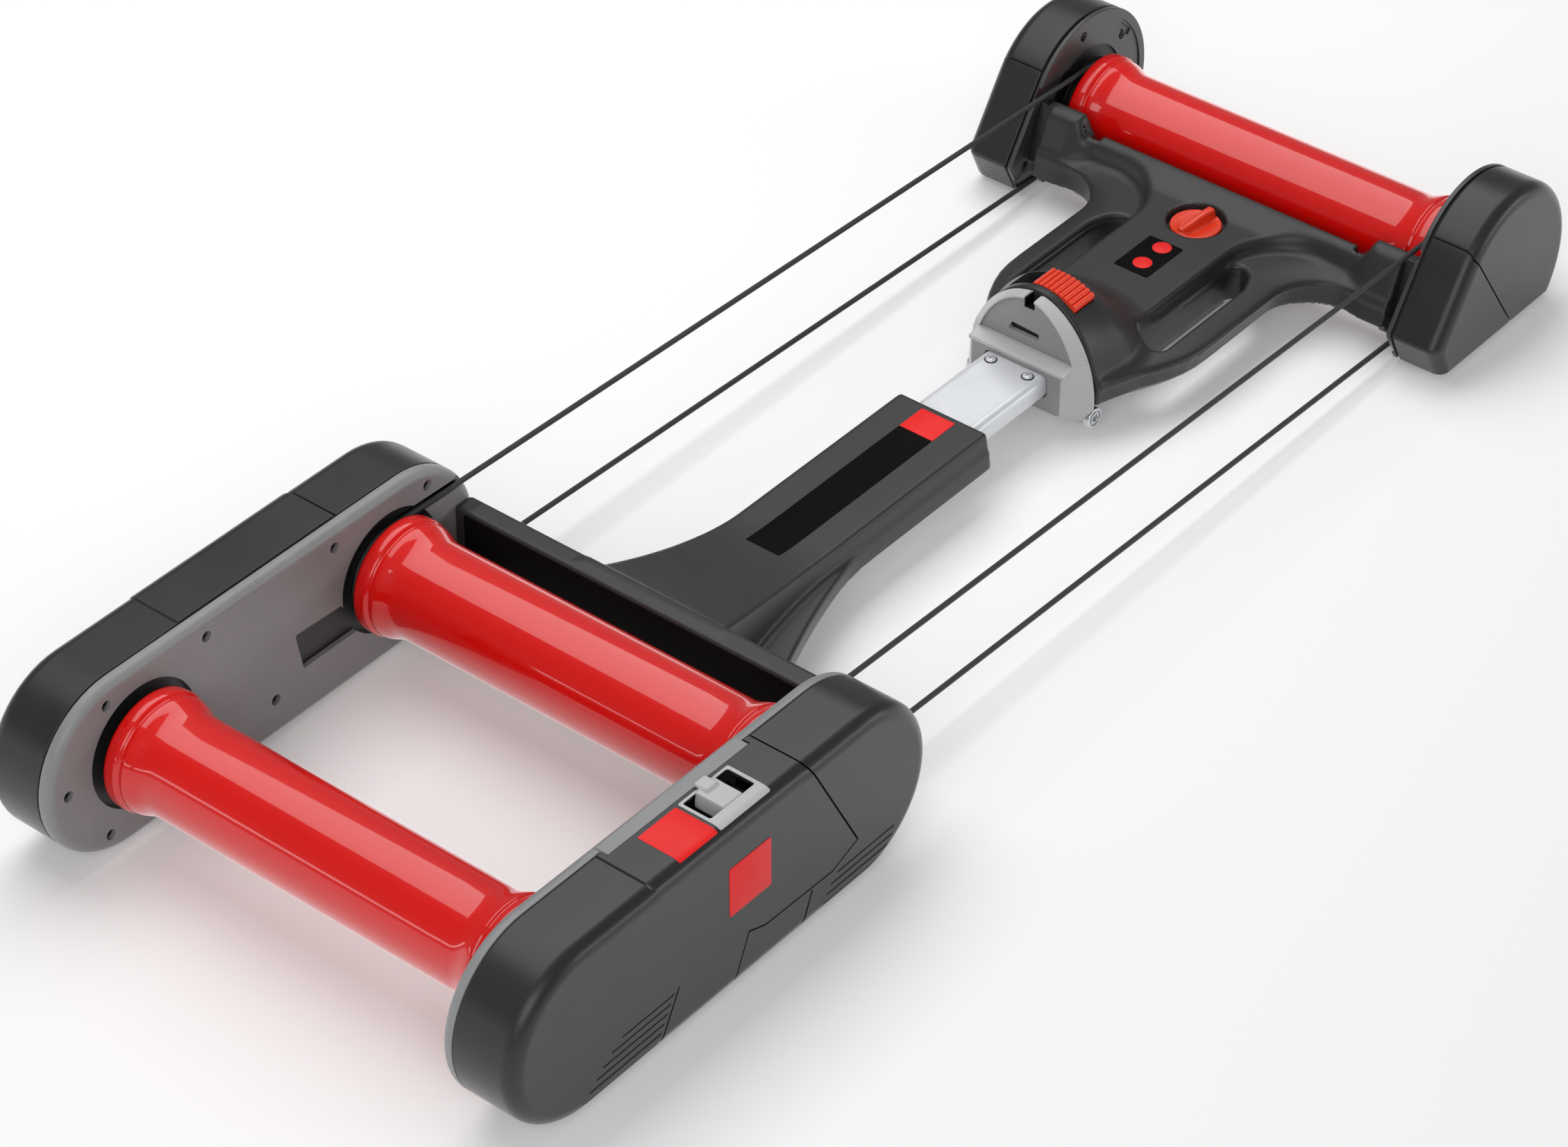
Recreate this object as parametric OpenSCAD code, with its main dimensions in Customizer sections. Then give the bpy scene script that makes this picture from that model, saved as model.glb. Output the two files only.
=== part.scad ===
// Three-drum training rollers for a bicycle: a rear unit with two drums, and a
// front unit with one drum that telescopes and folds under on a central beam.
// X is across, Y points forward and Z is up. Distances along Y are written from
// the rear drum's axis, and the whole model is moved so that the origin lies on
// the floor under its middle.

/* [Drums] */
// Radius of a drum along its middle
drum_r = 40; // [34:0.5:44]
// Radius of the raised ring at each end of a drum
drum_flange_r = 47.2; // [45:0.1:49]
// Length of a drum from end to end
drum_len = 353.4; // [300:0.2:420]
// Wall thickness of a drum's tube
drum_wall = 3.5; // [2:0.5:6]
// Width of the flat ring at each end of a drum
drum_land = 12; // [6:1:18]
// Length of the flare between the ring and the middle
drum_flare = 24; // [14:1:40]
// Chamfer at the drum's two ends
drum_edge = 1.5; // [0.5:0.5:3]
// Thickness of the hub disc pressed into each end
hub_t = 14; // [8:1:24]
// Radius of the axle that turns with each drum
axle_r = 5; // [4:0.5:7]

/* [Layout] */
// Height of the rear and middle axles above the floor
rear_axle_h = 79.2; // [76:0.2:84]
// Distance between the rear and middle axles
rear_gap = 252.6; // [240:0.2:270]
// Distance from the rear axle to the front axle
front_span = 1121.3; // [1080:0.1:1160]
// Height of the front axle above the floor
front_axle_h = 51.3; // [50:0.1:56]

/* [Side modules] */
// Radius of the round ends of a side module
side_r = 73; // [68:0.5:76]
// Height of the underside of a side module above the floor
side_lift = 3; // [2:0.5:6]
// How far the centre of the rear round end lies behind the rear axle
side_back = 20; // [16:1:24]
// How far the centre of the front round end lies ahead of the middle axle
side_ahead = 20; // [16:1:24]
// Gap between a drum's end and the inner face of a side plate
plate_gap = 5.7; // [5:0.1:7]
// Depth of the grey side plate across the rim
plate_t = 10.5; // [8:0.5:14]
// Thickness of the side plate's web
plate_web = 4; // [3:0.5:5]
// Rounding of the side plate's inner rim
plate_round = 5; // [2:0.5:6]
// Depth of the black outer cover
cover_depth = 53; // [46:1:60]
// Wall thickness of the covers
cover_wall = 3; // [2:0.5:4]
// Rounding of the covers' outer edge
cover_round = 18; // [10:1:22]
// Height of the raised middle part of a cover over its ends
saddle_rise = 1.3; // [0.5:0.1:2]
// Rear end of the raised part, from the rear axle
saddle_rear = 52; // [40:1:60]
// Front end of the raised part, from the rear axle
saddle_front = 208; // [196:1:212]
// Width of the seams between cover pieces
seam = 0.6; // [0.3:0.1:1]
// Radius of the opening round a drum's end
recess_r = 51; // [50:0.5:53]
// Radius of the screws that hold the covers
screw_r = 2; // [1.5:0.25:2.5]
// Radius of the screws' heads
screw_head_r = 3.8; // [3.5:0.1:4.5]

/* [Drive belts] */
// Radius of the round belt's section
belt_r = 2.2; // [1.5:0.1:3]
// Radius at which the belt's centreline runs on its pulleys
pulley_r = 38.4; // [36:0.1:40]
// Width of a pulley
pulley_w = 8.4; // [7.5:0.1:8.8]
// Distance from a drum's end to the belt's centreline
belt_out = 5.1; // [4.6:0.1:5.4]

/* [Rear frame] */
// Distance from the middle axle to the rear face of the cross-member
cross_ahead = 69.4; // [60:0.2:72]
// Thickness of the cross-member from front to back
cross_t = 19; // [14:1:22]
// Height of the cross-member's top above the floor
cross_top = 97; // [90:1:104]
// Height of the cross-member's underside above the floor
cross_low = 22; // [16:1:28]
// Half the width of the central beam
beam_half = 43; // [40:1:46]
// Height of the beam's top above the floor, at its mouth
beam_top = 63; // [61:0.5:66]
// Height of the beam's underside above the floor
beam_low = 32; // [31:0.5:33]
// Distance from the rear axle to the beam's mouth
beam_end = 680; // [660:1:690]
// How much higher the beam's top is where it meets the cross-member
beam_rise = 27; // [16:1:32]
// Half the width of the gusset where it meets the cross-member
gusset_half = 104; // [80:1:120]
// Wall thickness of the frame mouldings
frame_wall = 4; // [3:0.5:5]

/* [Slide tube] */
// Width of the aluminium tube
tube_w = 60; // [54:1:64]
// Height of the aluminium tube
tube_h = 20.5; // [18:0.5:22]
// Corner rounding of the tube
tube_round = 8; // [4:0.5:9]
// Wall thickness of the tube
tube_wall = 2.5; // [2:0.25:3.5]
// Height of the tube's underside above the floor
tube_low = 37.25; // [36.75:0.25:38]
// Length of tube inside the beam
tube_inside = 262; // [200:1:300]
// Sliding clearance between the tube and its guides
slide_gap = 0.15; // [0.1:0.05:0.3]

/* [Hinge] */
// Distance from the rear axle to the hinge pin
pin_y = 798; // [794:1:802]
// Height of the hinge pin above the floor
pin_h = 18; // [17:0.5:19]
// Radius of the hinge pin
pin_r = 4; // [3:0.5:5]
// Running clearance between the pin and its bores
pin_fit = 0.05; // [0.02:0.01:0.1]
// Radius of the hinge's knuckles
knuckle_r = 8; // [7:0.5:9]
// Thickness of the outer knuckles on the grey block
ear_t = 10; // [8:1:12]
// Half the width of the arched faces that meet at the hinge
arch_half = 61; // [58:1:64]
// Height of the arch's crown above the floor
arch_top = 113.5; // [108:0.5:118]
// Thickness of the grey hinge block's arched plate
block_t = 13.5; // [11:0.5:16]
// Gap between the two arched faces
face_gap = 0.4; // [0.3:0.1:0.6]

/* [Front frame] */
// Height of the deck's top above the floor
deck_top = 64; // [62:0.5:67]
// Half the width of the deck between the handle slots
deck_half = 46; // [44:0.5:48]
// Half the distance between the outer edges of the handle slots
slot_half = 75; // [72:0.5:78]
// Half the distance between the outer sides of the handle rails
rail_half = 100; // [97:0.5:104]
// Height of the handle rails' top above the floor
rail_top = 51; // [46:0.5:56]
// Height of the front frame's underside above the floor
deck_low = 14; // [12:0.5:16]
// Gap between the front frame and the front drum
drum_gap = 7; // [4:0.5:12]
// Height of the raised lugs beside the front covers
lug_top = 86; // [78:1:88]

/* [Front covers] */
// Radius of a front cover round the front drum
front_r = 82; // [78:0.5:86]
// How far the centre of that round lies ahead of the front axle
front_ahead = 2.7; // [0:0.1:5]
// Rounding of the front covers' outer edge
front_round = 16; // [8:1:18]
// Depth of a front cover
front_depth = 43; // [38:1:48]
// Thickness of the front plates that carry the axle
front_plate_t = 6; // [5:0.5:8]
// Gap between a drum's end and a front plate
front_gap = 10.5; // [10:0.1:12]
// Height of the front covers' underside above the floor
front_lift = 6; // [4:0.5:8]
// Distance from the front axle back to the cover's rear edge
front_back = 103; // [96:1:108]
// Height of that rear edge above the floor
front_edge_h = 32; // [30:1:36]
// Radius of the cover's outline at the rear edge
edge_r = 28; // [24:1:30]

/* [Controls] */
// Radius of the rotary lock knob
knob_r = 21.5; // [18:0.5:22]
// Distance from the front axle back to the lock knob's axis
knob_back = 104.6; // [98:0.1:112]
// Height of the knob's grip above the deck
knob_grip = 6; // [4:0.5:9]
// Radius of the ribbed fold latch
latch_r = 63.5; // [62:0.5:65]
// Height of the fold latch's turning axis above the floor
latch_h = 50; // [48:0.5:51]
// Width of the fold latch along Y
latch_w = 26; // [18:1:28]
// Angle that the fold latch spans
latch_span = 46; // [36:1:50]
// Angle between the fold latch's middle and straight up
latch_lean = 12; // [8:0.5:14]
// Distance from the rear axle to the resistance lever's middle
lever_y = 150; // [146:1:154]
// Travel of the resistance lever each way
lever_travel = 10; // [6:0.5:11]
// Radius of the brake disc on the middle axle
disc_r = 60; // [54:1:62]

/* [Hidden] */
$fn = 64;
eps = 0.01;

drum_half = drum_len / 2;
plate_in = drum_half + plate_gap;
plate_out = plate_in + plate_t;
web_out = plate_in + plate_web;
cover_out = plate_out + cover_depth;
side_h = side_lift + side_r;
side_top = side_lift + 2 * side_r;
side_ya = -side_back;
side_yb = rear_gap + side_ahead;
front_plate_in = drum_half + front_gap;
front_plate_out = front_plate_in + front_plate_t;
front_out = front_plate_out + front_depth;
front_yc = front_span + front_ahead;
rear_reach = side_back + side_r;
front_reach = front_yc + front_r;
mid_y = (front_reach - rear_reach) / 2;

belt_x = drum_half + belt_out;
belt_drop = rear_axle_h - front_axle_h;
belt_run = norm([front_span - rear_gap, belt_drop]);
belt_tilt = atan2(belt_drop, front_span - rear_gap);
belt_slot = 5;
pulley_end = belt_x + pulley_w / 2;
groove_gap = 0.3;

screw_head_t = 2.6;
screw_seat = web_out + 1;

bearing_r = 13;
bearing_t = 8;
bearing_fit = 0.05;
carrier_t = 5;
carrier_x = web_out;
carrier_lip = 5;
boss_x = carrier_x + carrier_t;
boss_r = bearing_r + 4;
boss_out = carrier_x + 12;

cross_rear = rear_gap + cross_ahead;
cross_front = cross_rear + cross_t;
cross_half = plate_in;
cross_end = 12;
bolt_r = 3;
bolt_head_r = 5.5;
bolt_head_t = 4;
frame_bolt_places = [for (z = [62, 86]) [cross_rear + cross_t / 2, z]];
beam_blend = 485;
flare_start = 455;
flare_half = 9;
gusset_start = 510;
gusset_top = 46;

tube_mid_h = tube_low + tube_h / 2;
guide_len = 20;
guide_back = 75;
socket_rear = pin_y - 26;
tube_front = pin_y - 8;
tube_rear = beam_end - tube_inside;
block_rear = pin_y - face_gap / 2 - block_t;
block_front = pin_y - face_gap / 2;
face_front = pin_y + face_gap / 2;
hinge_low = pin_h + 1;
knuckle_gap = 0.4;
pin_head_r = 6.5;
pin_head_t = 3.5;
ear_in = arch_half - 15;
ear_out = ear_in + ear_t;

deck_front = front_span - drum_flange_r - drum_gap;
knob_y = front_span - knob_back;
arm_out = drum_half - 0.7;
arm_rear = front_span - 95.3;
slope_start = face_front + 38;
slope_end = run(0.412);
slot_rear = run(0.28);
slot_front = run(0.842);
wall_in = frame_wall;

latch_y0 = face_front + 8;
latch_gap = 0.5;
latch_t = 13;
latch_hub_r = 10;
spoke_w = 7;
spindle_r = 5;

cap_gap = 0.4;
foot_r = 14;
lever_x0 = plate_out + 12.1;
lever_x1 = lever_x0 + 24;
panel_x1 = cover_out - 2.9;
slot_len = 48;
disc_x = plate_out + 13.1;
disc_t = 3;
magnet_r = 9;
magnet_y = 205;
magnet_h = 95;
rod_x = disc_x + 20;
rod_len = 80;
rod_h = 126;
rod_r = 4;

// y and z of the screws through each side plate, from the rear axle and the floor
side_screws = [[-31, side_top - 16], [-74, 79], [67, side_top - 16], [197.5, side_top - 16],
    [128, 35.6], [-40, side_lift + 18]];
nose_screws = [[296, side_top - 17.5], [300, side_lift + 19]];

// Basic shapes

module place() translate([0, -mid_y, 0]) children();

module both() {
    children();
    mirror([1, 0, 0]) children();
}

module xrod(x0, x1, r, y = 0, z = 0) {
    translate([x0, y, z]) rotate([0, 90, 0]) cylinder(h = x1 - x0, r = r);
}

module xring(x0, x1, r, bore, y = 0, z = 0) {
    difference() {
        xrod(x0, x1, r, y, z);
        xrod(x0 - 1, x1 + 1, bore, y, z);
    }
}

// A slab between two values of x with the outline drawn in y and z
module xslab(x0, x1) {
    translate([x0, 0, 0]) rotate([90, 0, 90]) linear_extrude(x1 - x0) children();
}

// A slab between two values of y with the outline drawn in x and z
module yslab(y0, y1) {
    translate([0, y1, 0]) rotate([90, 0, 0]) linear_extrude(y1 - y0) children();
}

module box(x0, x1, y0, y1, z0, z1) translate([x0, y0, z0]) cube([x1 - x0, y1 - y0, z1 - z0]);

module round_rect(w, h, r) {
    square([w - 2 * r, h], center = true);
    square([w, h - 2 * r], center = true);
    for (sx = [-1, 1], sy = [-1, 1]) translate([sx * (w / 2 - r), sy * (h / 2 - r)]) circle(r);
}

// Half section of a disc from x0 to x1 whose outer edge at x1 is rounded
module rim_section(r, x0, x1, f) {
    translate([0, x0]) square([r, x1 - x0 - f]);
    translate([0, x0]) square([r - f, x1 - x0]);
    translate([r - f, x1 - f]) circle(f);
}

// Solid stadium that lies along Y, from x0 to x1, rounded at x1
module stadium(r, x0, x1, f, h) {
    for (y = [side_ya, side_yb])
        translate([0, y, h]) rotate([0, 90, 0]) rotate_extrude() intersection() {
            rim_section(r, x0, x1, f);
            translate([0, x0]) square([r, x1 - x0]);
        }
    yslab(side_ya, side_yb) translate([0, h]) {
        translate([x0, -r]) square([x1 - x0 - f, 2 * r]);
        translate([x0, f - r]) square([x1 - x0, 2 * (r - f)]);
        for (s = [-1, 1]) translate([x1 - f, s * (r - f)]) circle(f);
    }
}

// Drums, hubs, axles and belts, drawn round the axis of the rear drum

module drum_section() {
    mid = drum_half - drum_land - drum_flare;
    rise = (drum_flange_r - drum_r) * 0.8;
    steps = 8;
    flare = [for (i = [0:steps]) let (t = i / steps)
        [drum_r + rise * (1 - cos(90 * t)), mid + drum_flare * t]];
    edge = concat(flare, [[drum_flange_r, mid + drum_flare], [drum_flange_r, drum_half - drum_edge],
        [drum_flange_r - drum_edge, drum_half], [drum_r - drum_wall, drum_half]]);
    polygon(concat(edge, [for (i = [len(edge) - 1:-1:0]) [edge[i][0], -edge[i][1]]]));
}

module drum_tube() rotate([0, 90, 0]) rotate_extrude() drum_section();

module drum_hub() {
    x0 = drum_half - hub_t;
    difference() {
        union() {
            xrod(x0, drum_half - 2, drum_r - drum_wall);
            xrod(x0 - 6, drum_half, axle_r + 8);
        }
        xrod(x0 - 7, drum_half + 1, axle_r);
        for (a = [0:60:300]) rotate([a, 0, 0]) xrod(drum_half - 8, drum_half, 6, 0, 24);
    }
}

module drum_pulley() {
    difference() {
        xrod(drum_half, pulley_end, pulley_r + belt_r);
        xrod(drum_half - 1, pulley_end + 1, axle_r);
        translate([belt_x, 0, 0]) rotate([0, 90, 0]) rotate_extrude()
            translate([pulley_r + belt_r, 0])
                square([2 * (2 * belt_r + groove_gap), 2 * (belt_r + groove_gap)], center = true);
    }
}

module axle(reach, long_end) {
    difference() {
        xrod(-reach, long_end, axle_r);
        for (x = [-reach, long_end]) xrod(x - 6, x + 6, 2);
    }
}

module half_loop() rotate_extrude(angle = 180) translate([pulley_r, 0]) circle(belt_r, $fn = 24);

module belt() {
    translate([belt_x, rear_gap, rear_axle_h]) rotate([-belt_tilt, 0, 0]) {
        for (s = [-1, 1]) translate([0, 0, s * pulley_r]) rotate([-90, 0, 0])
            cylinder(h = belt_run, r = belt_r, $fn = 24);
        rotate([0, 90, 0]) rotate([0, 0, 180]) half_loop();
        translate([0, belt_run, 0]) rotate([0, 90, 0]) half_loop();
    }
}

module bearing(x) {
    difference() {
        xring(x, x + bearing_t, bearing_r, axle_r + bearing_fit);
        for (s = [-1, bearing_t - 0.6])
            xring(x + s, x + s + 1.6, bearing_r - 2, axle_r + 2.5);
    }
}

// Side modules, drawn on the right

module nose_outline(shift) {
    y = shift;
    z = -shift;
    top = saddle_front + 4 + y;
    polygon([[top, side_top + 20], [top, side_top], [266 + y, 47 + z],
        [237 + y, 36 + z], [164 + y, 38 + z], [147 + y, 44 + z], [129 + y, side_lift + z], [129 + y, -20],
        [460, -20], [460, side_top + 20]]);
}

module cover_shell() {
    difference() {
        union() {
            stadium(side_r, plate_out, cover_out, cover_round, side_h);
            intersection() {
                stadium(side_r + saddle_rise, plate_out + 7, cover_out, cover_round, side_h);
                box(plate_out, cover_out, saddle_rear, saddle_front, side_h, side_top + 10);
            }
        }
        stadium(side_r - cover_wall, plate_out - 1, cover_out - cover_wall,
            cover_round - cover_wall, side_h);
    }
}

module cover_posts(places) {
    for (p = places) xring(plate_out, cover_out - cover_wall + eps, screw_head_r + 1.5, screw_r, p[0], p[1]);
}

module rear_cover() {
    difference() {
        cover_shell();
        xslab(plate_out - 1, cover_out + 1) nose_outline(-seam);
    }
    cover_posts(side_screws);
}

module nose_cover() {
    intersection() {
        cover_shell();
        xslab(plate_out - 1, cover_out + 1) nose_outline(0);
    }
    cover_posts(nose_screws);
}

module window_outline() {
    polygon([[152, 80], [200, 78], [219, 46], [158, 46]]);
}

module plate_body() {
    difference() {
        mirror([1, 0, 0]) stadium(side_r, -plate_out, -plate_in, plate_round, side_h);
        stadium(side_r - cover_wall, web_out, plate_out + 1, 0.5, side_h);
    }
    for (p = concat(side_screws, nose_screws))
        xrod(web_out - 1, plate_out, screw_head_r + 2, p[0], p[1]);
}

module side_plate() {
    difference() {
        plate_body();
        for (y = [0, rear_gap]) xrod(plate_in - 1, plate_out + 1, recess_r, y, rear_axle_h);
        xslab(plate_in - 1, plate_out + 1) window_outline();
        for (p = concat(side_screws, nose_screws)) {
            xrod(plate_in - 1, screw_seat, screw_head_r + 0.4, p[0], p[1]);
            xrod(plate_in - 1, plate_out + 1, screw_r, p[0], p[1]);
        }
        for (s = [-1, 1])
            translate([plate_in - 1, rear_gap, rear_axle_h + s * pulley_r]) rotate([-belt_tilt, 0, 0])
                translate([0, 0, -belt_slot]) cube([belt_r + 3, side_r + side_ahead + 10, 2 * belt_slot]);
    }
}

// The black moulding behind a side plate that closes the openings round the
// drums' ends and holds their bearings
module axle_carrier() {
    difference() {
        union() {
            for (y = [0, rear_gap]) {
                xrod(carrier_x, boss_x, recess_r + carrier_lip, y, rear_axle_h);
                xrod(carrier_x, boss_out, boss_r, y, rear_axle_h);
            }
            xslab(carrier_x, boss_x) polygon([[30, 92], [220, 92], [220, 40], [150, 40], [130, 62], [30, 62]]);
        }
        for (y = [0, rear_gap]) {
            xrod(carrier_x - 1, boss_out + 1, axle_r + 1.5, y, rear_axle_h);
            xrod(carrier_x + 2, boss_out + 1, bearing_r, y, rear_axle_h);
        }
        for (p = concat(side_screws, nose_screws))
            xrod(carrier_x - 1, boss_x + 1, screw_head_r + 2.5, p[0], p[1]);
    }
}

module panel_opening(grow) {
    box(lever_x0 - grow, lever_x1 + grow, lever_y - slot_len / 2 - grow, lever_y + slot_len / 2 + grow,
        side_top - 2 * cover_wall, side_top + 10);
}

// A screw whose head bears on x and whose shank reaches out from there
module screw(x, p, reach) {
    xrod(x - screw_head_t, x, screw_head_r, p[0], p[1]);
    xrod(x - screw_head_t, x + reach, screw_r - eps, p[0], p[1]);
}

module foot(x, y, h) {
    translate([x, y, 0]) rotate_extrude()
        polygon([[0, 0], [foot_r - 1, 0], [foot_r, 1], [foot_r, h], [0, h]]);
}

// Rear unit

function beam_z(y) = beam_top + (y < beam_blend ?
    beam_rise * pow((beam_blend - y) / (beam_blend - cross_front), 1.7) : 0);
function beam_w(y) = beam_half + (y < flare_start ?
    flare_half * pow((flare_start - y) / (flare_start - cross_front), 1.2) : 0);
function gusset_w(y) = beam_half + 3 + (gusset_half - beam_half) *
    pow((gusset_start - y) / (gusset_start - cross_front), 1.8);

module mirrored_plan(pts) {
    polygon(concat(pts, [for (i = [len(pts) - 1:-1:0]) [-pts[i][0], pts[i][1]]]));
}

module beam_solid(inset) {
    y0 = cross_front - 1;
    ys = [for (i = [0:14]) y0 + (beam_blend - y0) * i / 14];
    intersection() {
        translate([0, 0, beam_low + inset]) linear_extrude(2 * cross_top)
            mirrored_plan(concat([for (y = ys) [beam_w(y) - inset, y]],
                [[beam_half - inset, beam_end + (inset > 0 ? 1 : 0)]]));
        xslab(-beam_half - 20, beam_half + 20) polygon(concat([[y0, beam_low - 1]],
            [for (y = ys) [y, beam_z(y) - inset]],
            [[beam_end + 1, beam_top - inset], [beam_end + 1, beam_low - 1]]));
    }
}

module gusset_solid(inset) {
    y0 = cross_front - 1;
    ys = [for (i = [0:10]) y0 + (gusset_start - y0) * i / 10];
    translate([0, 0, inset > 0 ? beam_low - 1 : beam_low]) linear_extrude(gusset_top - beam_low - inset)
        mirrored_plan([for (y = ys) [max(gusset_w(y) - inset, 1), y]]);
}

module rear_frame() {
    color("#35373a") place() difference() {
        union() {
            box(-cross_half, cross_half, cross_rear, cross_front, cross_low, cross_top);
            beam_solid(0);
            gusset_solid(0);
        }
        box(-cross_half + cross_end, cross_half - cross_end, cross_rear + frame_wall,
            cross_front - frame_wall, cross_low - 1, cross_top - frame_wall);
        gusset_solid(frame_wall);
        beam_solid(frame_wall);
        for (s = [-1, 1]) translate([0, rear_gap, rear_axle_h + s * pulley_r]) rotate([-belt_tilt, 0, 0])
            both() box(drum_half - 1, cross_half + 1, 30, 120, -belt_slot - 2, belt_slot + 2);
        both() for (p = frame_bolt_places) xrod(cross_half - cross_end - 1, cross_half + 1, bolt_r, p[0], p[1]);
    }
}

module bolt(x0, x1, p) {
    xrod(x0, x1, bolt_r - eps, p[0], p[1]);
    xrod(x1, x1 + bolt_head_t, bolt_head_r, p[0], p[1]);
}

module frame_bolts() {
    color("#2a2a2a") place() both() for (p = frame_bolt_places) bolt(cross_half - cross_end, web_out, p);
}

module bolt_holes() for (p = frame_bolt_places) xrod(plate_in - 1, plate_out + 1, bolt_r, p[0], p[1]);

module left_side_plate() color("#8d8f91") place() mirror([1, 0, 0]) difference() {
    side_plate();
    bolt_holes();
}

module right_side_plate() color("#8d8f91") place() {
    difference() {
        side_plate();
        bolt_holes();
    }
    for (y = [lever_y - 38, lever_y + 32]) difference() {
        box(web_out - 1, rod_x + rod_r + 3, y, y + 6, rod_h - rod_r - 3, rod_h + rod_r + 3);
        translate([rod_x, y - 1, rod_h]) rotate([-90, 0, 0]) cylinder(h = 8, r = rod_r);
    }
}

module left_rear_cover() color("#37393c") place() mirror([1, 0, 0]) rear_cover();

module right_rear_cover() color("#37393c") place() difference() {
    rear_cover();
    panel_opening(0);
}

module left_nose_cover() color("#333538") place() mirror([1, 0, 0]) nose_cover();
module right_nose_cover() color("#333538") place() nose_cover();
module left_axle_carrier() color("#161718") place() mirror([1, 0, 0]) axle_carrier();
module right_axle_carrier() color("#161718") place() axle_carrier();

module rear_bearings() {
    color("#b9bcc0") place() both() for (y = [0, rear_gap])
        translate([0, y, rear_axle_h]) bearing(carrier_x + 2);
}

module cover_screws() {
    color("#1d1d1e") place() both() for (p = concat(side_screws, nose_screws))
        screw(screw_seat, p, 22);
}

module rear_feet() {
    color("#222222") place() both() for (y = [-6, rear_gap + 8])
        foot(plate_out + cover_depth / 2, y, side_lift);
}

module tube_guides() {
    inner_w = 2 * (beam_half - frame_wall);
    inner_h = beam_top - beam_low - 2 * frame_wall;
    color("#1b1c1d") place() for (y = [beam_end - guide_len, tube_rear + guide_back]) difference() {
        yslab(y, y + guide_len) translate([0, beam_low + frame_wall + inner_h / 2])
            square([inner_w, inner_h], center = true);
        yslab(y - 1, y + guide_len + 1) translate([0, tube_mid_h])
            round_rect(tube_w + 2 * slide_gap, tube_h + 2 * slide_gap, tube_round + slide_gap);
    }
}

module lever_panel() {
    color("#9a9c9e") place() difference() {
        box(lever_x0 - 2, panel_x1 - cover_round + 8, lever_y - slot_len / 2 - 2, lever_y + slot_len / 2 + 2,
            side_top + saddle_rise, side_top + saddle_rise + 0.8);
        panel_opening(0);
    }
}

module carrier_rod() {
    color("#c9ccd0") place() translate([rod_x, lever_y - rod_len / 2, rod_h])
        rotate([-90, 0, 0]) cylinder(h = rod_len, r = rod_r - eps);
}

module rear_drum() color("#d3140c") place() translate([0, 0, rear_axle_h]) drum_tube();
module rear_drum_hubs() color("#191919") place() translate([0, 0, rear_axle_h]) both() drum_hub();
module rear_axle() color("#b4b8bc") place() translate([0, 0, rear_axle_h])
    axle(boss_out + 3, boss_out + 3);
module middle_drum() color("#d3140c") place() translate([0, rear_gap, rear_axle_h]) drum_tube();
module middle_drum_hubs() color("#191919") place() translate([0, rear_gap, rear_axle_h]) both() drum_hub();
module middle_axle() color("#b4b8bc") place() translate([0, rear_gap, rear_axle_h])
    axle(boss_out + 3, disc_x + disc_t + 9);
module middle_pulleys() color("#141414") place() translate([0, rear_gap, rear_axle_h])
    both() drum_pulley();

module brake_disc() {
    color("#c2c5c9") place() translate([0, rear_gap, rear_axle_h]) difference() {
        union() {
            xrod(disc_x, disc_x + disc_t, disc_r);
            xrod(boss_out + 1.5, disc_x + disc_t + 5, 12);
        }
        xrod(boss_out, disc_x + disc_t + 10, axle_r);
        for (a = [0:60:300]) rotate([a, 0, 0]) xrod(disc_x - 1, disc_x + disc_t + 1, 7, 0, 32);
    }
}

// Resistance slide: the lever, the yoke it carries and the magnets beside the disc

module resistance_lever() {
    top = side_top + saddle_rise + 0.8;
    half = slot_len / 2 - lever_travel - 0.5;
    color("#8b8d90") place() {
        box(lever_x0 + 0.5, lever_x1 - 0.5, lever_y - half, lever_y + half, side_top - 12, top + 0.6);
        box(lever_x0 + 0.5, lever_x0 + 9, lever_y - 5, lever_y + 5, top, top + 8);
    }
}

module magnet_carrier() {
    low = magnet_h - magnet_r - 4;
    high = side_top - 12;
    gap = 3;
    color("#2b2c2e") place() difference() {
        union() {
            box(disc_x - gap - 5, disc_x - gap, lever_y - 14, magnet_y + magnet_r + 3, low, magnet_h + 14);
            box(disc_x + disc_t + gap, disc_x + disc_t + gap + 5, lever_y - 14,
                magnet_y + magnet_r + 3, low, magnet_h + 14);
            box(disc_x - gap - 5, rod_x + rod_r + 3, lever_y - 14, lever_y + 14, magnet_h + 8, high);
        }
        translate([rod_x, lever_y - rod_len / 2, rod_h]) rotate([-90, 0, 0])
            cylinder(h = rod_len, r = rod_r + pin_fit);
        for (x = [disc_x - gap - 3, disc_x + disc_t + gap - 1])
            xrod(x, x + 4, magnet_r, magnet_y, magnet_h);
    }
}

module brake_magnets() {
    gap = 3;
    color("#d8d9dc") place() {
        xrod(disc_x - gap - 3, disc_x - gap, magnet_r, magnet_y, magnet_h);
        xrod(disc_x + disc_t + gap, disc_x + disc_t + gap + 3, magnet_r, magnet_y, magnet_h);
    }
}

// Slide

module slide_tube() {
    color("#e3e5e8") place() difference() {
        yslab(tube_rear, tube_front) translate([0, tube_mid_h]) difference() {
            round_rect(tube_w, tube_h, tube_round);
            round_rect(tube_w - 2 * tube_wall, tube_h - 2 * tube_wall, tube_round - tube_wall);
        }
        for (s = [-1, 1]) translate([s * 18, socket_rear - 8, tube_mid_h]) cylinder(h = tube_h, r = 2);
    }
}

module tube_end_plug() {
    color("#1b1c1d") place() {
        yslab(tube_rear - 3, tube_rear) translate([0, tube_mid_h])
            round_rect(tube_w - 1, tube_h - 1, tube_round - 0.5);
        yslab(tube_rear, tube_rear + 18) translate([0, tube_mid_h])
            round_rect(tube_w - 2 * tube_wall, tube_h - 2 * tube_wall, tube_round - tube_wall);
    }
}

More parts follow.
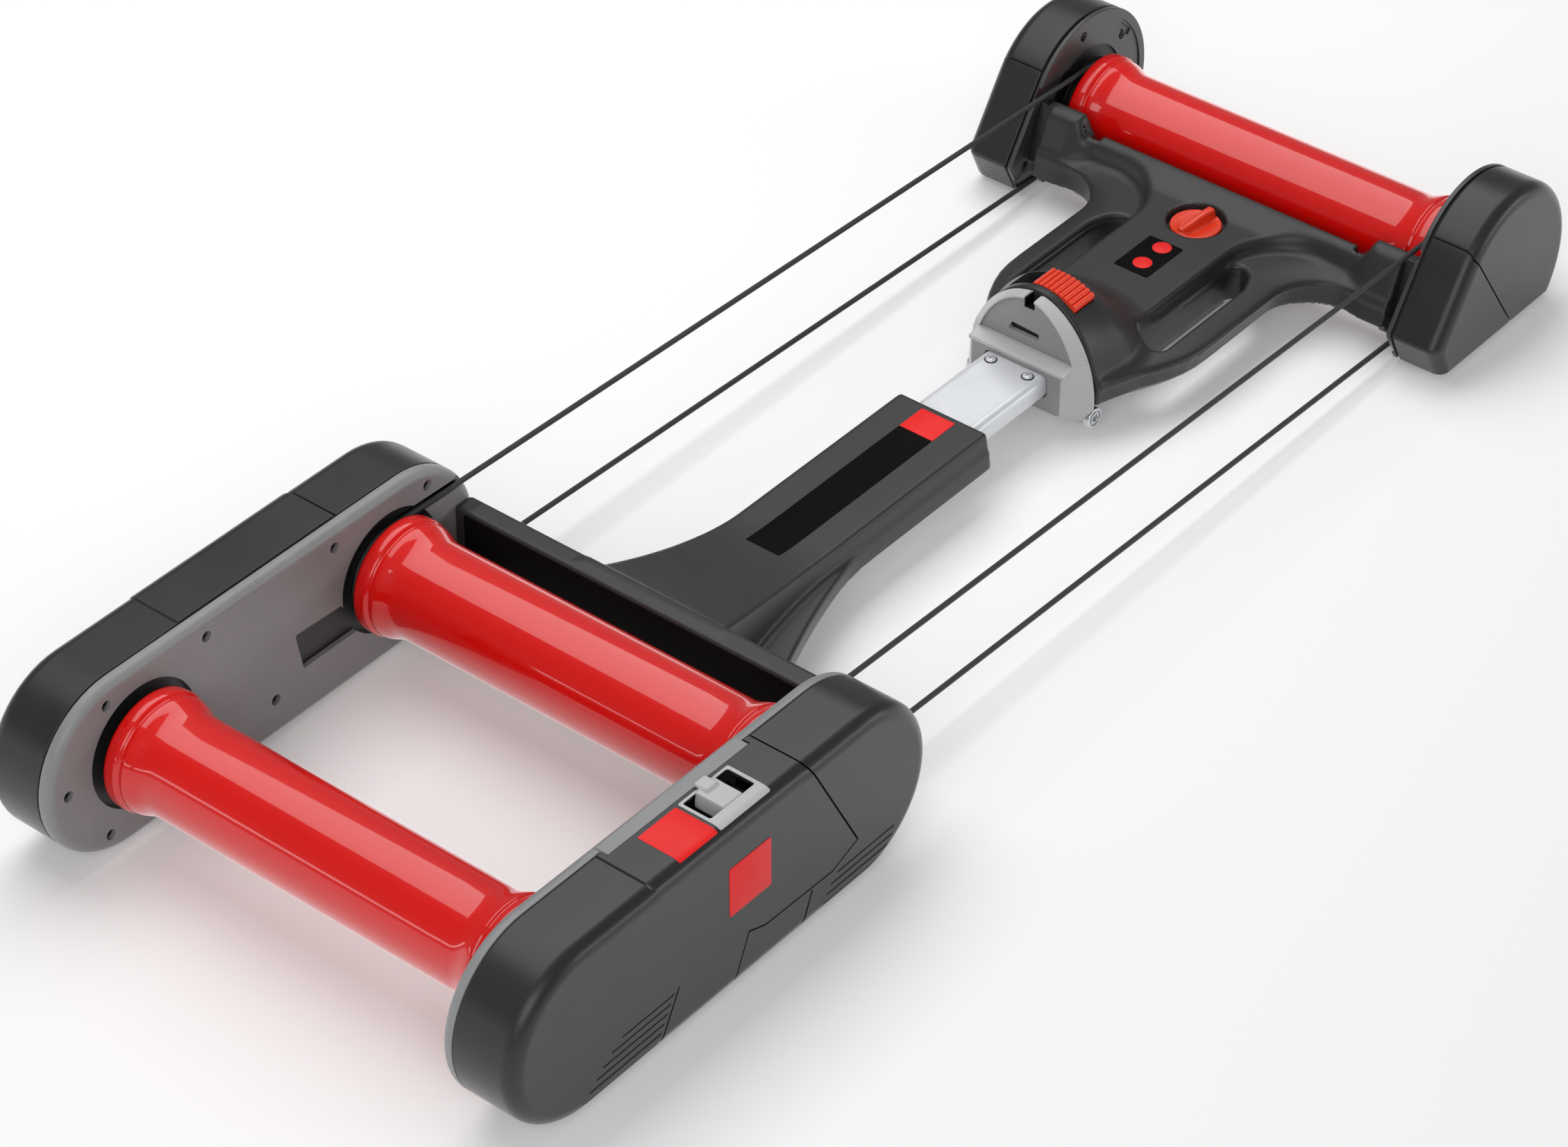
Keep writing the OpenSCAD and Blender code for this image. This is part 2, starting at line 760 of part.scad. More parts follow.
module tube_screws() {
    color("#aeb2b7") place() for (s = [-1, 1])
        translate([s * 18, socket_rear - 8, tube_low + tube_h]) {
            cylinder(h = 1.6, r = 4.2);
            translate([0, 0, -6]) cylinder(h = 6, r = 2 - eps);
        }
}

// Half the width of the arched faces at height z
function arch_w(z, half) = z <= pin_h + 15 ? half :
    half * pow(1 - pow((z - pin_h - 15) / (arch_top - pin_h - 15), 1.75), 1 / 1.75);

module arch_outline(half, low, drop = 0) {
    top = arch_top - drop;
    n = 18;
    zs = [for (i = [0:n]) low + (top - low) * sin(90 * i / n)];
    polygon(concat([for (z = zs) [arch_w(z + drop, half), z]],
        [for (i = [n - 1:-1:0]) [-arch_w(zs[i] + drop, half), zs[i]]]));
}

module knuckles(x0, x1) xrod(x0, x1, knuckle_r, pin_y, pin_h);

module hinge_block() {
    socket_w = tube_w / 2 + 17;
    color("#9b9da0") place() difference() {
        union() {
            hull() {
                yslab(block_rear, block_rear + 0.1) arch_outline(arch_half - 9, hinge_low);
                yslab(block_front - 5, block_front) arch_outline(arch_half, hinge_low);
            }
            box(-socket_w, socket_w, socket_rear, block_rear + 2, hinge_low + 10, 68);
            both() {
                knuckles(ear_in, ear_out);
                box(ear_in, ear_out, pin_y - knuckle_r, block_front, pin_h, pin_h + 24);
            }
        }
        difference() {
            yslab(block_rear - 1, block_rear + 3) arch_outline(arch_half - 16, 71, 7);
            box(-arch_half, arch_half, block_rear - 2, block_rear + 4, 0, 71);
        }
        box(-15, 15, block_rear - 1, block_rear + 7, 76, 84);
        box(-3, 7, block_rear - 1, block_front + 1, arch_top - 13, arch_top + 1);
        yslab(socket_rear - 1, tube_front + eps) translate([0, tube_mid_h])
            round_rect(tube_w, tube_h, tube_round);
        xrod(-ear_out - 1, ear_out + 1, pin_r + pin_fit, pin_y, pin_h);
        xrod(-ear_in, ear_in, knuckle_r + knuckle_gap, pin_y, pin_h);
        both() xrod(ear_out, arch_half + 1, pin_head_r + knuckle_gap, pin_y, pin_h);
    }
}

module hinge_pin() {
    color("#c4c7cb") place() {
        difference() {
            union() {
                xrod(-ear_out, ear_out, pin_r, pin_y, pin_h);
                both() xrod(ear_out, ear_out + pin_head_t, pin_head_r, pin_y, pin_h);
            }
            both() translate([ear_out + 1, pin_y, pin_h]) rotate([0, 90, 0])
                cylinder(h = pin_head_t, r = pin_head_r / 2, $fn = 6);
        }
    }
}

// Front unit

// The front cover's outline is a large circle round the drum, a small one at
// the rear edge and the straight line that touches both, cut flat underneath
edge_c = [front_span - front_back + edge_r, front_edge_h];
round_c = [front_yc, front_axle_h];
edge_away = round_c - edge_c;
edge_angle = atan2(edge_away[1], edge_away[0]) + acos((edge_r - front_r) / norm(edge_away));
edge_dir = [cos(edge_angle), sin(edge_angle)];

module cover_outline(inset) {
    difference() {
        union() {
            translate(round_c) circle(front_r - inset);
            translate(edge_c) circle(edge_r - inset);
            polygon([edge_c, edge_c + (edge_r - inset) * edge_dir, round_c + (front_r - inset) * edge_dir,
                round_c, [front_yc, front_lift], [edge_c[0], front_lift]]);
        }
        translate([front_yc - 3 * front_r, front_lift + inset - 4 * front_r]) square(4 * front_r);
    }
}

// One ring of points round the cover's outline, at x, with its flat underside at low
function cover_ring(x, inset, low) =
    let (big = front_r - inset, small = edge_r - inset, first = -asin((round_c[1] - low) / big), last = 240)
    concat(
        [for (i = [0:22]) let (a = first + (edge_angle - first) * i / 22)
            [x, round_c[0] + big * cos(a), round_c[1] + big * sin(a)]],
        [for (i = [1:7]) let (a = edge_angle + (last - edge_angle) * i / 7)
            [x, edge_c[0] + small * cos(a), edge_c[1] + small * sin(a)]],
        [[x, edge_c[0] + small * cos(last) + 3.6, low]]);

// A solid through rings that all have as many points, with flat ends
module ring_solid(rings) {
    n = len(rings[0]);
    m = len(rings);
    sides = [for (k = [0:m - 2], i = [0:n - 1]) let (j = (i + 1) % n)
        [k * n + i, (k + 1) * n + i, (k + 1) * n + j, k * n + j]];
    polyhedron([for (r = rings) each r],
        concat(sides, [[for (i = [0:n - 1]) i], [for (i = [n - 1:-1:0]) (m - 1) * n + i]]));
}

module cover_form(x0, x1, f, inset, low) {
    ring_solid(concat([cover_ring(x0, inset, low)],
        [for (a = [0:30:90]) cover_ring(x1 - f * (1 - sin(a)), inset + f * (1 - cos(a)), low)]));
}

module front_shell() {
    difference() {
        cover_form(front_plate_out, front_out, front_round, 0, front_lift);
        cover_form(front_plate_out - 1, front_out - cover_wall, front_round - cover_wall,
            cover_wall, front_lift + cover_wall);
    }
}

module guard_outline(shift) {
    y = front_span + shift;
    polygon([[y - 130, -10], [y + 19, -10], [y - 58, 101], [y - 58, 140], [y - 130, 140]]);
}

// y and z of the screws through each front plate, from the front axle and the floor
front_screw_places = [[50, 93], [-6, front_axle_h + front_r - 16], [50, 22]];
guard_screw_place = [-84, 28];

// The screw posts reach a little way into the cover's wall
front_boss_end = front_out - cover_wall + 0.6;

module front_cover() {
    difference() {
        front_shell();
        xslab(front_plate_out - 1, front_out + 1) guard_outline(seam);
    }
    for (p = front_screw_places)
        xring(front_plate_out, front_boss_end, screw_head_r + 1.5, screw_r, front_span + p[0], p[1]);
}

module front_guard() {
    intersection() {
        front_shell();
        xslab(front_plate_out - 1, front_out + 1) guard_outline(0);
    }
    xring(front_plate_out, front_boss_end, screw_head_r + 1.5, screw_r,
        front_span + guard_screw_place[0], guard_screw_place[1]);
}

module front_plate() {
    difference() {
        union() {
            xslab(front_plate_in, front_plate_out) cover_outline(0);
            xrod(front_plate_out - 1, front_plate_in + 14, boss_r, front_span, front_axle_h);
        }
        xrod(front_plate_in - 1, front_plate_in + 2, drum_flange_r, front_span, front_axle_h);
        xrod(front_plate_in - 1, front_plate_in + 20, axle_r + 1.5, front_span, front_axle_h);
        xrod(front_plate_in + 5, front_plate_in + 20, bearing_r, front_span, front_axle_h);
        for (p = concat(front_screw_places, [guard_screw_place])) {
            xrod(front_plate_in - 1, front_plate_in + screw_head_t, screw_head_r + 0.4, front_span + p[0], p[1]);
            xrod(front_plate_in - 1, front_plate_out + 1, screw_r, front_span + p[0], p[1]);
        }
        for (p = lug_bolt_places) xrod(front_plate_in - 1, front_plate_out + 1, bolt_r, p[0], p[1]);
    }
}

module left_front_cover() color("#37393c") place() mirror([1, 0, 0]) front_cover();
module right_front_cover() color("#37393c") place() front_cover();
module left_front_guard() color("#333538") place() mirror([1, 0, 0]) front_guard();
module right_front_guard() color("#333538") place() front_guard();
module left_front_plate() color("#2c2e30") place() mirror([1, 0, 0]) front_plate();
module right_front_plate() color("#2c2e30") place() front_plate();

module front_screws() {
    color("#1d1d1e") place() both() {
        for (p = concat(front_screw_places, [guard_screw_place]))
            translate([0, front_span, 0]) screw(front_plate_in + screw_head_t, p, 20);
        for (p = lug_bolt_places) bolt(arm_out - cross_end, front_plate_out, p);
    }
}

module front_feet() {
    color("#222222") place() both() for (y = [front_span - 66, front_span + 48])
        foot(front_plate_out + front_depth / 2, y, front_lift);
}

module front_bearings() {
    color("#b9bcc0") place() both() translate([0, front_span, front_axle_h]) bearing(front_plate_in + 5);
}

module front_drum() color("#d3140c") place() translate([0, front_span, front_axle_h]) drum_tube();
module front_drum_hubs() color("#191919") place() translate([0, front_span, front_axle_h])
    both() drum_hub();
module front_axle() color("#b4b8bc") place() translate([0, front_span, front_axle_h])
    axle(front_plate_in + 15, front_plate_in + 15);
module front_pulleys() color("#141414") place() translate([0, front_span, front_axle_h])
    both() drum_pulley();
module left_belt() color("#2a2b2c") place() mirror([1, 0, 0]) belt();
module right_belt() color("#2a2b2c") place() belt();

// A place between the hinge's face, 0, and the arms' rear edge, 1
function run(share) = face_front + share * (arm_rear - face_front);

// Half of the front frame's plan, from the hinge out to the arm's end
frame_plan = [[arch_half, face_front], [arch_half + 17, run(0.105)], [rail_half - 6, slot_rear],
    [rail_half, slope_end], [rail_half, run(0.78)], [rail_half + 7, run(0.921)],
    [rail_half + 20, arm_rear], [arm_out, arm_rear], [arm_out, deck_front]];
lug_x = 137;
lug_bolt_places = [[arm_rear + 26, 40], [arm_rear + 30, 58]];

module frame_solid() {
    slope_mid = slope_start + 0.57 * (slope_end - slope_start);
    rails_from = slope_start + 0.785 * (slope_end - slope_start);
    side = [[face_front, hinge_low], [face_front, arch_top], [slope_start, arch_top - 6],
        [slope_mid, deck_top + 8], [slope_end, deck_top], [deck_front, deck_top],
        [deck_front, deck_low], [slope_start + 4, deck_low], [slope_start - 4, hinge_low]];
    intersection() {
        union() {
            xslab(-deck_half, deck_half) polygon(side);
            hull() {
                yslab(face_front, face_front + 0.1) arch_outline(arch_half, hinge_low);
                yslab(slope_start, slope_start + 0.1) arch_outline(arch_half + 8, hinge_low, 6);
            }
            hull() {
                yslab(slope_start, slope_start + 0.1) arch_outline(arch_half + 8, hinge_low, 6);
                box(-deck_half, deck_half, slope_end, slope_end + 1, hinge_low, deck_top);
                box(-rail_half, rail_half, rails_from, rails_from + 1, hinge_low, rail_top - 2);
            }
            difference() {
                box(-arm_out, arm_out, face_front, deck_front, deck_low, rail_top);
                box(-arm_out, arm_out, face_front - 1, slope_start - 2, deck_low - 1, hinge_low);
            }
            hull() {
                box(-deck_half, deck_half, knob_y - knob_r - 15, deck_front, deck_low, deck_top);
                box(-arm_out, arm_out, arm_rear + 14, deck_front, deck_low, deck_top);
            }
        }
        translate([0, 0, -1]) linear_extrude(arch_top + 2) mirrored_plan(frame_plan);
    }
}

module handle_slots() {
    mid = (deck_half + slot_half) / 2 + 1;
    r = (slot_half - deck_half) / 2 - 1;
    both() {
        for (y = [slot_rear + r, slot_front - r]) translate([mid, y, 0]) cylinder(h = 2 * deck_top, r = r);
        box(mid - r, mid + r, slot_rear + r, slot_front - r, 0, 2 * deck_top);
    }
}

module frame_hollow() {
    w = wall_in;
    both() {
        box(-deck_half + w, deck_half - w, slope_start + 14, knob_y - 30, deck_low - 1, deck_top - w);
        box(rail_half - 18, rail_half - w, slope_end, run(0.78), deck_low - 1, rail_top - w);
        box(30, 110, arm_rear + w, deck_front - w, deck_low - 1, deck_top - w);
    }
    box(-40, 40, knob_y - 30 - eps, deck_front - w, deck_low - 1, deck_top - 12);
}

module arm_lugs() {
    both() {
        xslab(lug_x, arm_out) polygon([[arm_rear - 4, 36], [arm_rear + 6, 24], [deck_front, 24],
            [deck_front, lug_top - 6], [deck_front - 4, lug_top], [deck_front - 22, lug_top]]);
        for (p = lug_bolt_places) xrod(arm_out - 1, front_plate_in, 8, p[0], p[1]);
    }
}

module front_frame() {
    color("#3a3c3f") place() difference() {
        union() {
            frame_solid();
            arm_lugs();
            knuckles(-ear_in + knuckle_gap, ear_in - knuckle_gap);
        }
        handle_slots();
        frame_hollow();
        xrod(-ear_in - 1, ear_in + 1, pin_r + pin_fit, pin_y, pin_h);
        both() xrod(ear_in - knuckle_gap, arch_half + 20, knuckle_r + knuckle_gap, pin_y, pin_h);
        translate([0, knob_y, deck_top - 8]) cylinder(h = 20, r = knob_r + 2.5);
        translate([0, knob_y, 0]) cylinder(h = deck_top, r = 6 + pin_fit);
        both() for (p = lug_bolt_places) xrod(arm_out - cross_end, front_plate_in + 1, bolt_r, p[0], p[1]);
        latch_pocket();
    }
}

module latch_sector(r0, r1, half) {
    intersection() {
        difference() {
            circle(r1);
            if (r0 > 0) circle(r0);
        }
        polygon([[0, 0], 200 * [-sin(half), cos(half)], [0, 300], 200 * [sin(half), cos(half)]]);
    }
}

module latch_pocket() {
    y0 = latch_y0 - latch_gap;
    y1 = latch_y0 + latch_w + latch_gap;
    yslab(y0, y1) translate([0, latch_h]) {
        latch_sector(0, latch_r + 20, latch_span / 2 + latch_lean + 1.5);
        circle(latch_hub_r + latch_gap);
    }
    translate([0, latch_y0 - 3, latch_h]) rotate([-90, 0, 0]) cylinder(h = latch_w + 6, r = spindle_r);
}

module fold_latch() {
    color("#e2481f") place() yslab(latch_y0, latch_y0 + latch_w) translate([0, latch_h]) rotate(-latch_lean)
        difference() {
            union() {
                latch_sector(latch_r - latch_t, latch_r, latch_span / 2);
                translate([-spoke_w / 2, 0]) square([spoke_w, latch_r - latch_t + 3]);
                circle(latch_hub_r);
            }
            circle(spindle_r + pin_fit);
        }
}

module latch_spindle() {
    color("#c4c7cb") place() translate([0, latch_y0 - 3, latch_h]) rotate([-90, 0, 0])
        cylinder(h = latch_w + 6, r = spindle_r);
}

module lock_knob() {
    z0 = deck_top - 8 + 0.3;
    color("#e2481f") place() translate([0, knob_y, 0]) {
        translate([0, 0, z0]) cylinder(h = 6, r = knob_r);
        translate([0, 0, z0 + 6]) linear_extrude(knob_grip + 2) round_rect(10, 2 * knob_r - 5, 3);
        translate([0, 0, deck_top - 20]) cylinder(h = 20, r = 6);
    }
}

module lock_cam() {
    color("#1b1c1d") place() translate([0, knob_y, deck_top - 26]) difference() {
        union() {
            cylinder(h = 6, r = 12);
            linear_extrude(6) round_rect(12, 44, 5);
        }
        translate([0, 0, -1]) cylinder(h = 8, r = 2);
    }
}

rear_frame();
left_side_plate();
right_side_plate();
left_rear_cover();
right_rear_cover();
left_nose_cover();
right_nose_cover();
left_axle_carrier();
right_axle_carrier();
rear_bearings();
cover_screws();
frame_bolts();
rear_feet();
tube_guides();
lever_panel();
carrier_rod();
rear_drum();
rear_drum_hubs();
rear_axle();
middle_drum();
middle_drum_hubs();
middle_axle();
middle_pulleys();
brake_disc();
resistance_lever();
magnet_carrier();
brake_magnets();
slide_tube();
tube_end_plug();
tube_screws();
hinge_block();
hinge_pin();
front_frame();
left_front_plate();
right_front_plate();
left_front_cover();
right_front_cover();
left_front_guard();
right_front_guard();
front_bearings();
front_screws();
front_feet();
front_drum();
front_drum_hubs();
front_axle();
front_pulleys();
left_belt();
right_belt();
fold_latch();
latch_spindle();
lock_knob();
lock_cam();
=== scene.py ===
"""Bike rollers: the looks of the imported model.

Points are given in millimetres from the rear drum's axis, as the part's source
gives them, and turned into the frame's metres when a mesh is made.
"""

import math

import bmesh
import bpy
import numpy as np
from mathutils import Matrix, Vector


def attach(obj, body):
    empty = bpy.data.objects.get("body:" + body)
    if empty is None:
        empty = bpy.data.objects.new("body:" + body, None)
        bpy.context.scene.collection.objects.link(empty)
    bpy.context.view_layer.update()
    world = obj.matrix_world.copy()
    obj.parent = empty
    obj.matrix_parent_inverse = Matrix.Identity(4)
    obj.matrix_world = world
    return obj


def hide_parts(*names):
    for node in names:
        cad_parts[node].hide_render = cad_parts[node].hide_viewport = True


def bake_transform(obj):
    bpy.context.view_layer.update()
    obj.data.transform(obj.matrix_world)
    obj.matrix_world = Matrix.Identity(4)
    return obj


bl_info = {
    "name": "Bike rollers",
    "version": (1, 0, 0),
    "blender": (4, 5, 0),
    "location": "3D View > Sidebar > Rollers",
    "description": "Builds the looks of folding bike rollers round the packed model",
    "category": "Object",
}

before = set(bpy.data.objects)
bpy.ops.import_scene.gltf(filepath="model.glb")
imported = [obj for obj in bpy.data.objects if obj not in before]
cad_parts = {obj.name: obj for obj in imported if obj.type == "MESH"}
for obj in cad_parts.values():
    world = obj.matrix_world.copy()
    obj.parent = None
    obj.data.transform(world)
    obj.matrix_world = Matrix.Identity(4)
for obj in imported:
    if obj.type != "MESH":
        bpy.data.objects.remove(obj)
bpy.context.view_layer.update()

MM = 0.001
SIDES = {-1: "left", 1: "right"}

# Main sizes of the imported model, in millimetres
MID_Y = 556.5
MIDDLE_Y, FRONT_Y = 252.6, 1121.3
REAR_Z, FRONT_Z = 79.2, 51.3
PULLEY_R = 38.4
OPENING_R = 51
SCREW_HOLE_R = 4.4
PIN = (798, 18)


# Meshes

# Points nearer than this, in metres, are merged
MERGE = 2e-6

# Keeps the points of sharp corners from running away when an outline is inset
SHARPEST = 0.35

# How sculpt moves its points onto the surface: rounds, probe in millimetres,
# least squared slope and longest move as a share of the grid's step
ROUNDS = 4
PROBE = 0.2
LEAST_SLOPE = 0.05
LONGEST_MOVE = 0.4


def place(point):
    """A point in millimetres, in the frame's metres."""
    return Vector((point[0], point[1] - MID_Y, point[2])) * MM


def add(name, data):
    """A new object in the scene, made of that data."""
    made = bpy.data.objects.new(name, data)
    bpy.context.scene.collection.objects.link(made)
    return made


def solid(name, points, faces):
    """A mesh object through points in millimetres, with its faces turned outwards."""
    mesh = bpy.data.meshes.new(name)
    mesh.from_pydata([place(p) for p in points], [], faces)
    work = bmesh.new()
    work.from_mesh(mesh)
    bmesh.ops.remove_doubles(work, verts=work.verts, dist=MERGE)
    bmesh.ops.recalc_face_normals(work, faces=work.faces)
    work.to_mesh(mesh)
    work.free()
    return add(name, mesh)


def loft(name, rings, loop=False):
    """A solid through rings of as many points each. With loop the last ring meets the first."""
    n, m = len(rings[0]), len(rings)
    faces = []
    for k in range(m if loop else m - 1):
        for i in range(n):
            j, far = (i + 1) % n, (k + 1) % m
            faces.append((k * n + i, k * n + j, far * n + j, far * n + i))
    if not loop:
        faces += [tuple(reversed(range(n))), tuple(range((m - 1) * n, m * n))]
    return solid(name, [p for ring in rings for p in ring], faces)


def lathe(name, profile, centre, axis="x", steps=96):
    """A closed profile of (along, radius) points, turned round an axis through centre."""
    rings = []
    for k in range(steps):
        a = 2 * math.pi * k / steps
        rings.append([along(axis, centre[0] + r * math.cos(a), centre[1] + r * math.sin(a), t)
                      for t, r in profile])
    return loft(name, rings, loop=True)


def along(axis, u, v, t):
    """The point t along an axis, at (u, v) in the plane across it."""
    return {"x": (t, u, v), "y": (u, t, v), "z": (u, v, t)}[axis]


def inset(outline, depth):
    """An outline moved inwards by depth. It runs counterclockwise."""
    if not depth:
        return outline
    moved = []
    for i, here in enumerate(outline):
        here = Vector(here)
        a = (here - Vector(outline[i - 1])).normalized()
        b = (Vector(outline[(i + 1) % len(outline)]) - here).normalized()
        way = Vector((-a.y - b.y, a.x + b.x))
        moved.append(tuple(here + way * (depth / max(1 + a.dot(b), SHARPEST))))
    return moved


def corners(*points, steps=6):
    """A closed outline through points (u, v, r), each corner rounded to its radius r."""
    outline = []
    for i, (u, v, r) in enumerate(points):
        p = Vector((u, v))
        if not r:
            outline.append((u, v))
            continue
        a = (Vector(points[i - 1][:2]) - p).normalized()
        b = (Vector(points[(i + 1) % len(points)][:2]) - p).normalized()
        half = a.angle(b) / 2
        centre = p + (a + b).normalized() * (r / math.sin(half))
        reach = r / math.tan(half)
        first, last = p + a * reach - centre, p + b * reach - centre
        start = math.atan2(first.y, first.x)
        turn = (math.atan2(last.y, last.x) - start + math.pi) % (2 * math.pi) - math.pi
        for k in range(steps + 1):
            angle = start + turn * k / steps
            outline.append((centre.x + r * math.cos(angle), centre.y + r * math.sin(angle)))
    return outline


def rectangle(u0, v0, u1, v1, r=0, steps=6):
    """A rectangle with its corners rounded to r."""
    return corners((u0, v0, r), (u1, v0, r), (u1, v1, r), (u0, v1, r), steps=steps)


def arc(cu, cv, r, start, end, steps):
    """Points on a circle round (cu, cv), angles in degrees."""
    return [(cu + r * math.cos(math.radians(start + (end - start) * k / steps)),
             cv + r * math.sin(math.radians(start + (end - start) * k / steps)))
            for k in range(steps + 1)]


def circle(cu, cv, r, count):
    """A whole circle of count points."""
    return arc(cu, cv, r, 0, 360 - 360 / count, count - 1)


def slab(name, outline, t0, t1, axis="x", low=0.0, high=0.0, steps=5):
    """An outline given depth from t0 to t1, its low and high edges rounded to these radii."""
    rings = []
    bends = [math.radians(90 * k / steps) for k in range(steps + 1)]
    for a in reversed(bends) if low else [0]:
        rings.append((t0 + low * (1 - math.cos(math.pi / 2 - a)) if low else t0,
                      low * (1 - math.cos(a))))
    for a in bends if high else [0]:
        rings.append((t1 - high * (1 - math.sin(a)) if high else t1, high * (1 - math.cos(a))))
    return loft(name, [[along(axis, u, v, t) for u, v in inset(outline, d)] for t, d in rings])


def sculpt(name, field, low, high, step):
    """A solid where field(x, y, z) is below 0, meshed on a grid of that step.

    The points first lie where the grid's edges cross the surface, and are then
    moved onto it along the field's slope.
    """
    axes = [np.arange(a - 2 * step, b + 3 * step, step) for a, b in zip(low, high)]
    value = field(*np.meshgrid(*axes, indexing="ij"))
    inside = value < 0
    corner = [(i, j, k) for i in (0, 1) for j in (0, 1) for k in (0, 1)]
    shape = tuple(n - 1 for n in value.shape)

    def shifted(grid, move):
        """The grid's value at one corner of each cell."""
        return grid[tuple(slice(m, m + n) for m, n in zip(move, shape))]

    count = sum(shifted(inside, c).astype(np.int8) for c in corner)
    cells = np.nonzero((count > 0) & (count < 8))
    total, seen = np.zeros((len(cells[0]), 3)), np.zeros(len(cells[0]))
    for axis in range(3):
        for c in corner:
            if c[axis]:
                continue
            near = tuple(cell + o for cell, o in zip(cells, c))
            far = tuple(n + (i == axis) for i, n in enumerate(near))
            a, b = value[near], value[far]
            cross = (a < 0) != (b < 0)
            share = np.where(cross, a / np.where(cross, a - b, 1), 0)
            for i in range(3):
                total[:, i] += np.where(cross, c[i] + (share if i == axis else 0), 0)
            seen += cross
    points = np.stack([axes[i][cells[i]] for i in range(3)], 1) + total / seen[:, None] * step
    for _ in range(ROUNDS):
        here = field(*points.T)
        rise = [field(*(points + move).T) - field(*(points - move).T)
                for move in PROBE * np.eye(3)]
        slope = np.stack(rise, 1) / (2 * PROBE)
        steep = np.maximum((slope ** 2).sum(1), LEAST_SLOPE)
        move = slope * (here / steep)[:, None]
        length = np.maximum(np.linalg.norm(move, axis=1), 1e-9)
        points -= move * np.minimum(1, LONGEST_MOVE * step / length)[:, None]
    number = np.full(shape, -1)
    number[cells] = np.arange(len(points))
    faces = []
    one = np.eye(3, dtype=int)
    for axis in range(3):
        u, v = (axis + 1) % 3, (axis + 2) % 3
        near = [slice(1, n) for n in shape]
        near[axis] = slice(0, shape[axis])
        far = list(near)
        far[axis] = slice(1, shape[axis] + 1)
        a, b = inside[tuple(near)], inside[tuple(far)]
        for mask, order in ((a & ~b, 1), (~a & b, -1)):
            spots = np.stack(np.nonzero(mask), 1)
            spots[:, u] += 1
            spots[:, v] += 1
            ring = [number[tuple((spots - m).T)]
                    for m in (one[u] + one[v], one[v], 0 * one[u], one[u])]
            faces.append(np.stack(ring[::order], 1))
    mesh = bpy.data.meshes.new(name)
    metres = (points - (0, MID_Y, 0)) * MM
    mesh.from_pydata(metres.tolist(), [], np.concatenate(faces).tolist())
    return add(name, mesh)


def melt(a, b, width):
    """The lesser of two fields, with a fillet of about that width where they meet."""
    share = np.clip(0.5 + 0.5 * (b - a) / width, 0, 1)
    return b + (a - b) * share - width * share * (1 - share)


def trim(a, b, width):
    """The greater of two fields, with a rounded edge."""
    return -melt(-a, -b, width)


def brick(point, low, high, r=0.0):
    """The field of a box with edges rounded to r."""
    far, nearest = 0, -1e9
    for p, a, b in zip(point, low, high):
        d = np.abs(p - (a + b) / 2) - (b - a) / 2 + r
        far = far + np.maximum(d, 0) ** 2
        nearest = np.maximum(nearest, d)
    return np.sqrt(far) + np.minimum(nearest, 0) - r


def ease(value, start, end):
    """From 0 at start to 1 at end, slow at both."""
    t = np.clip((value - start) / (end - start), 0, 1)
    return t * t * (3 - 2 * t)


def flare(y, base, extra, start, length, most, power):
    """A size that is base in front of start and grows by extra over the length behind it."""
    return base + extra * np.clip((start - y) / length, 0, most) ** power


def settle(piece):
    """Turns a piece's modifiers into its mesh."""
    graph = bpy.context.evaluated_depsgraph_get()
    graph.update()
    mesh = bpy.data.meshes.new_from_object(piece.evaluated_get(graph))
    old = piece.data
    piece.modifiers.clear()
    piece.data = mesh
    mesh.name = piece.name
    bpy.data.meshes.remove(old)
    return piece


def drop(*pieces):
    """Removes pieces that were only tools."""
    for piece in pieces:
        mesh = piece.data
        bpy.data.objects.remove(piece)
        bpy.data.meshes.remove(mesh)


def carve(piece, *tools, operation="DIFFERENCE"):
    """Cuts tools out of a piece, or joins or keeps what they share."""
    for tool in tools:
        modifier = piece.modifiers.new("carve", "BOOLEAN")
        modifier.operation, modifier.solver, modifier.object = operation, "EXACT", tool
    settle(piece)
    drop(*tools)
    return piece


def gather(name, pieces):
    """Many meshes as one piece."""
    work = bmesh.new()
    for piece in pieces:
        work.from_mesh(piece.data)
    mesh = bpy.data.meshes.new(name)
    work.to_mesh(mesh)
    work.free()
    drop(*pieces)
    return add(name, mesh)


def sided(piece, side, name):
    """The piece under its name, mirrored to the left where side is below 0."""
    if side < 0:
        work = bmesh.new()
        work.from_mesh(piece.data)
        bmesh.ops.scale(work, vec=(-1, 1, 1), verts=work.verts)
        bmesh.ops.reverse_faces(work, faces=work.faces)
        work.to_mesh(piece.data)
        work.free()
    piece.name = piece.data.name = name
    return piece


def across(side, near, far):
    """The x range of what lies from near to far on one side."""
    return sorted((side * near, side * far))


def dress(piece, kind, body=None, nodes=(), bevel=0.0, segments=2, angle=32):
    """Bevels and smooths a piece, gives it its finish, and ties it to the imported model."""
    if bevel:
        modifier = piece.modifiers.new("edges", "BEVEL")
        modifier.width, modifier.segments = bevel * MM, segments
        modifier.limit_method, modifier.angle_limit = "ANGLE", math.radians(angle)
        settle(piece)
    piece.data.shade_smooth()
    piece.data.set_sharp_from_angle(angle=math.radians(angle))
    if bevel:
        modifier = piece.modifiers.new("flat faces", "WEIGHTED_NORMAL")
        modifier.mode, modifier.weight, modifier.keep_sharp = "FACE_AREA", 50, True
        settle(piece)
    piece.data.materials.clear()
    piece.data.materials.append(finish(kind))
    if body:
        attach(piece, body)
    if nodes:
        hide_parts(*([nodes] if isinstance(nodes, str) else nodes))
    return piece


def plain(name, outline, t0, t1, axis, kind, body, slot, side=1, **edges):
    """A slab that is a piece of its own and stands for no node."""
    return dress(sided(slab(name, outline, t0, t1, axis, **edges), side, name), kind, body)


# Materials

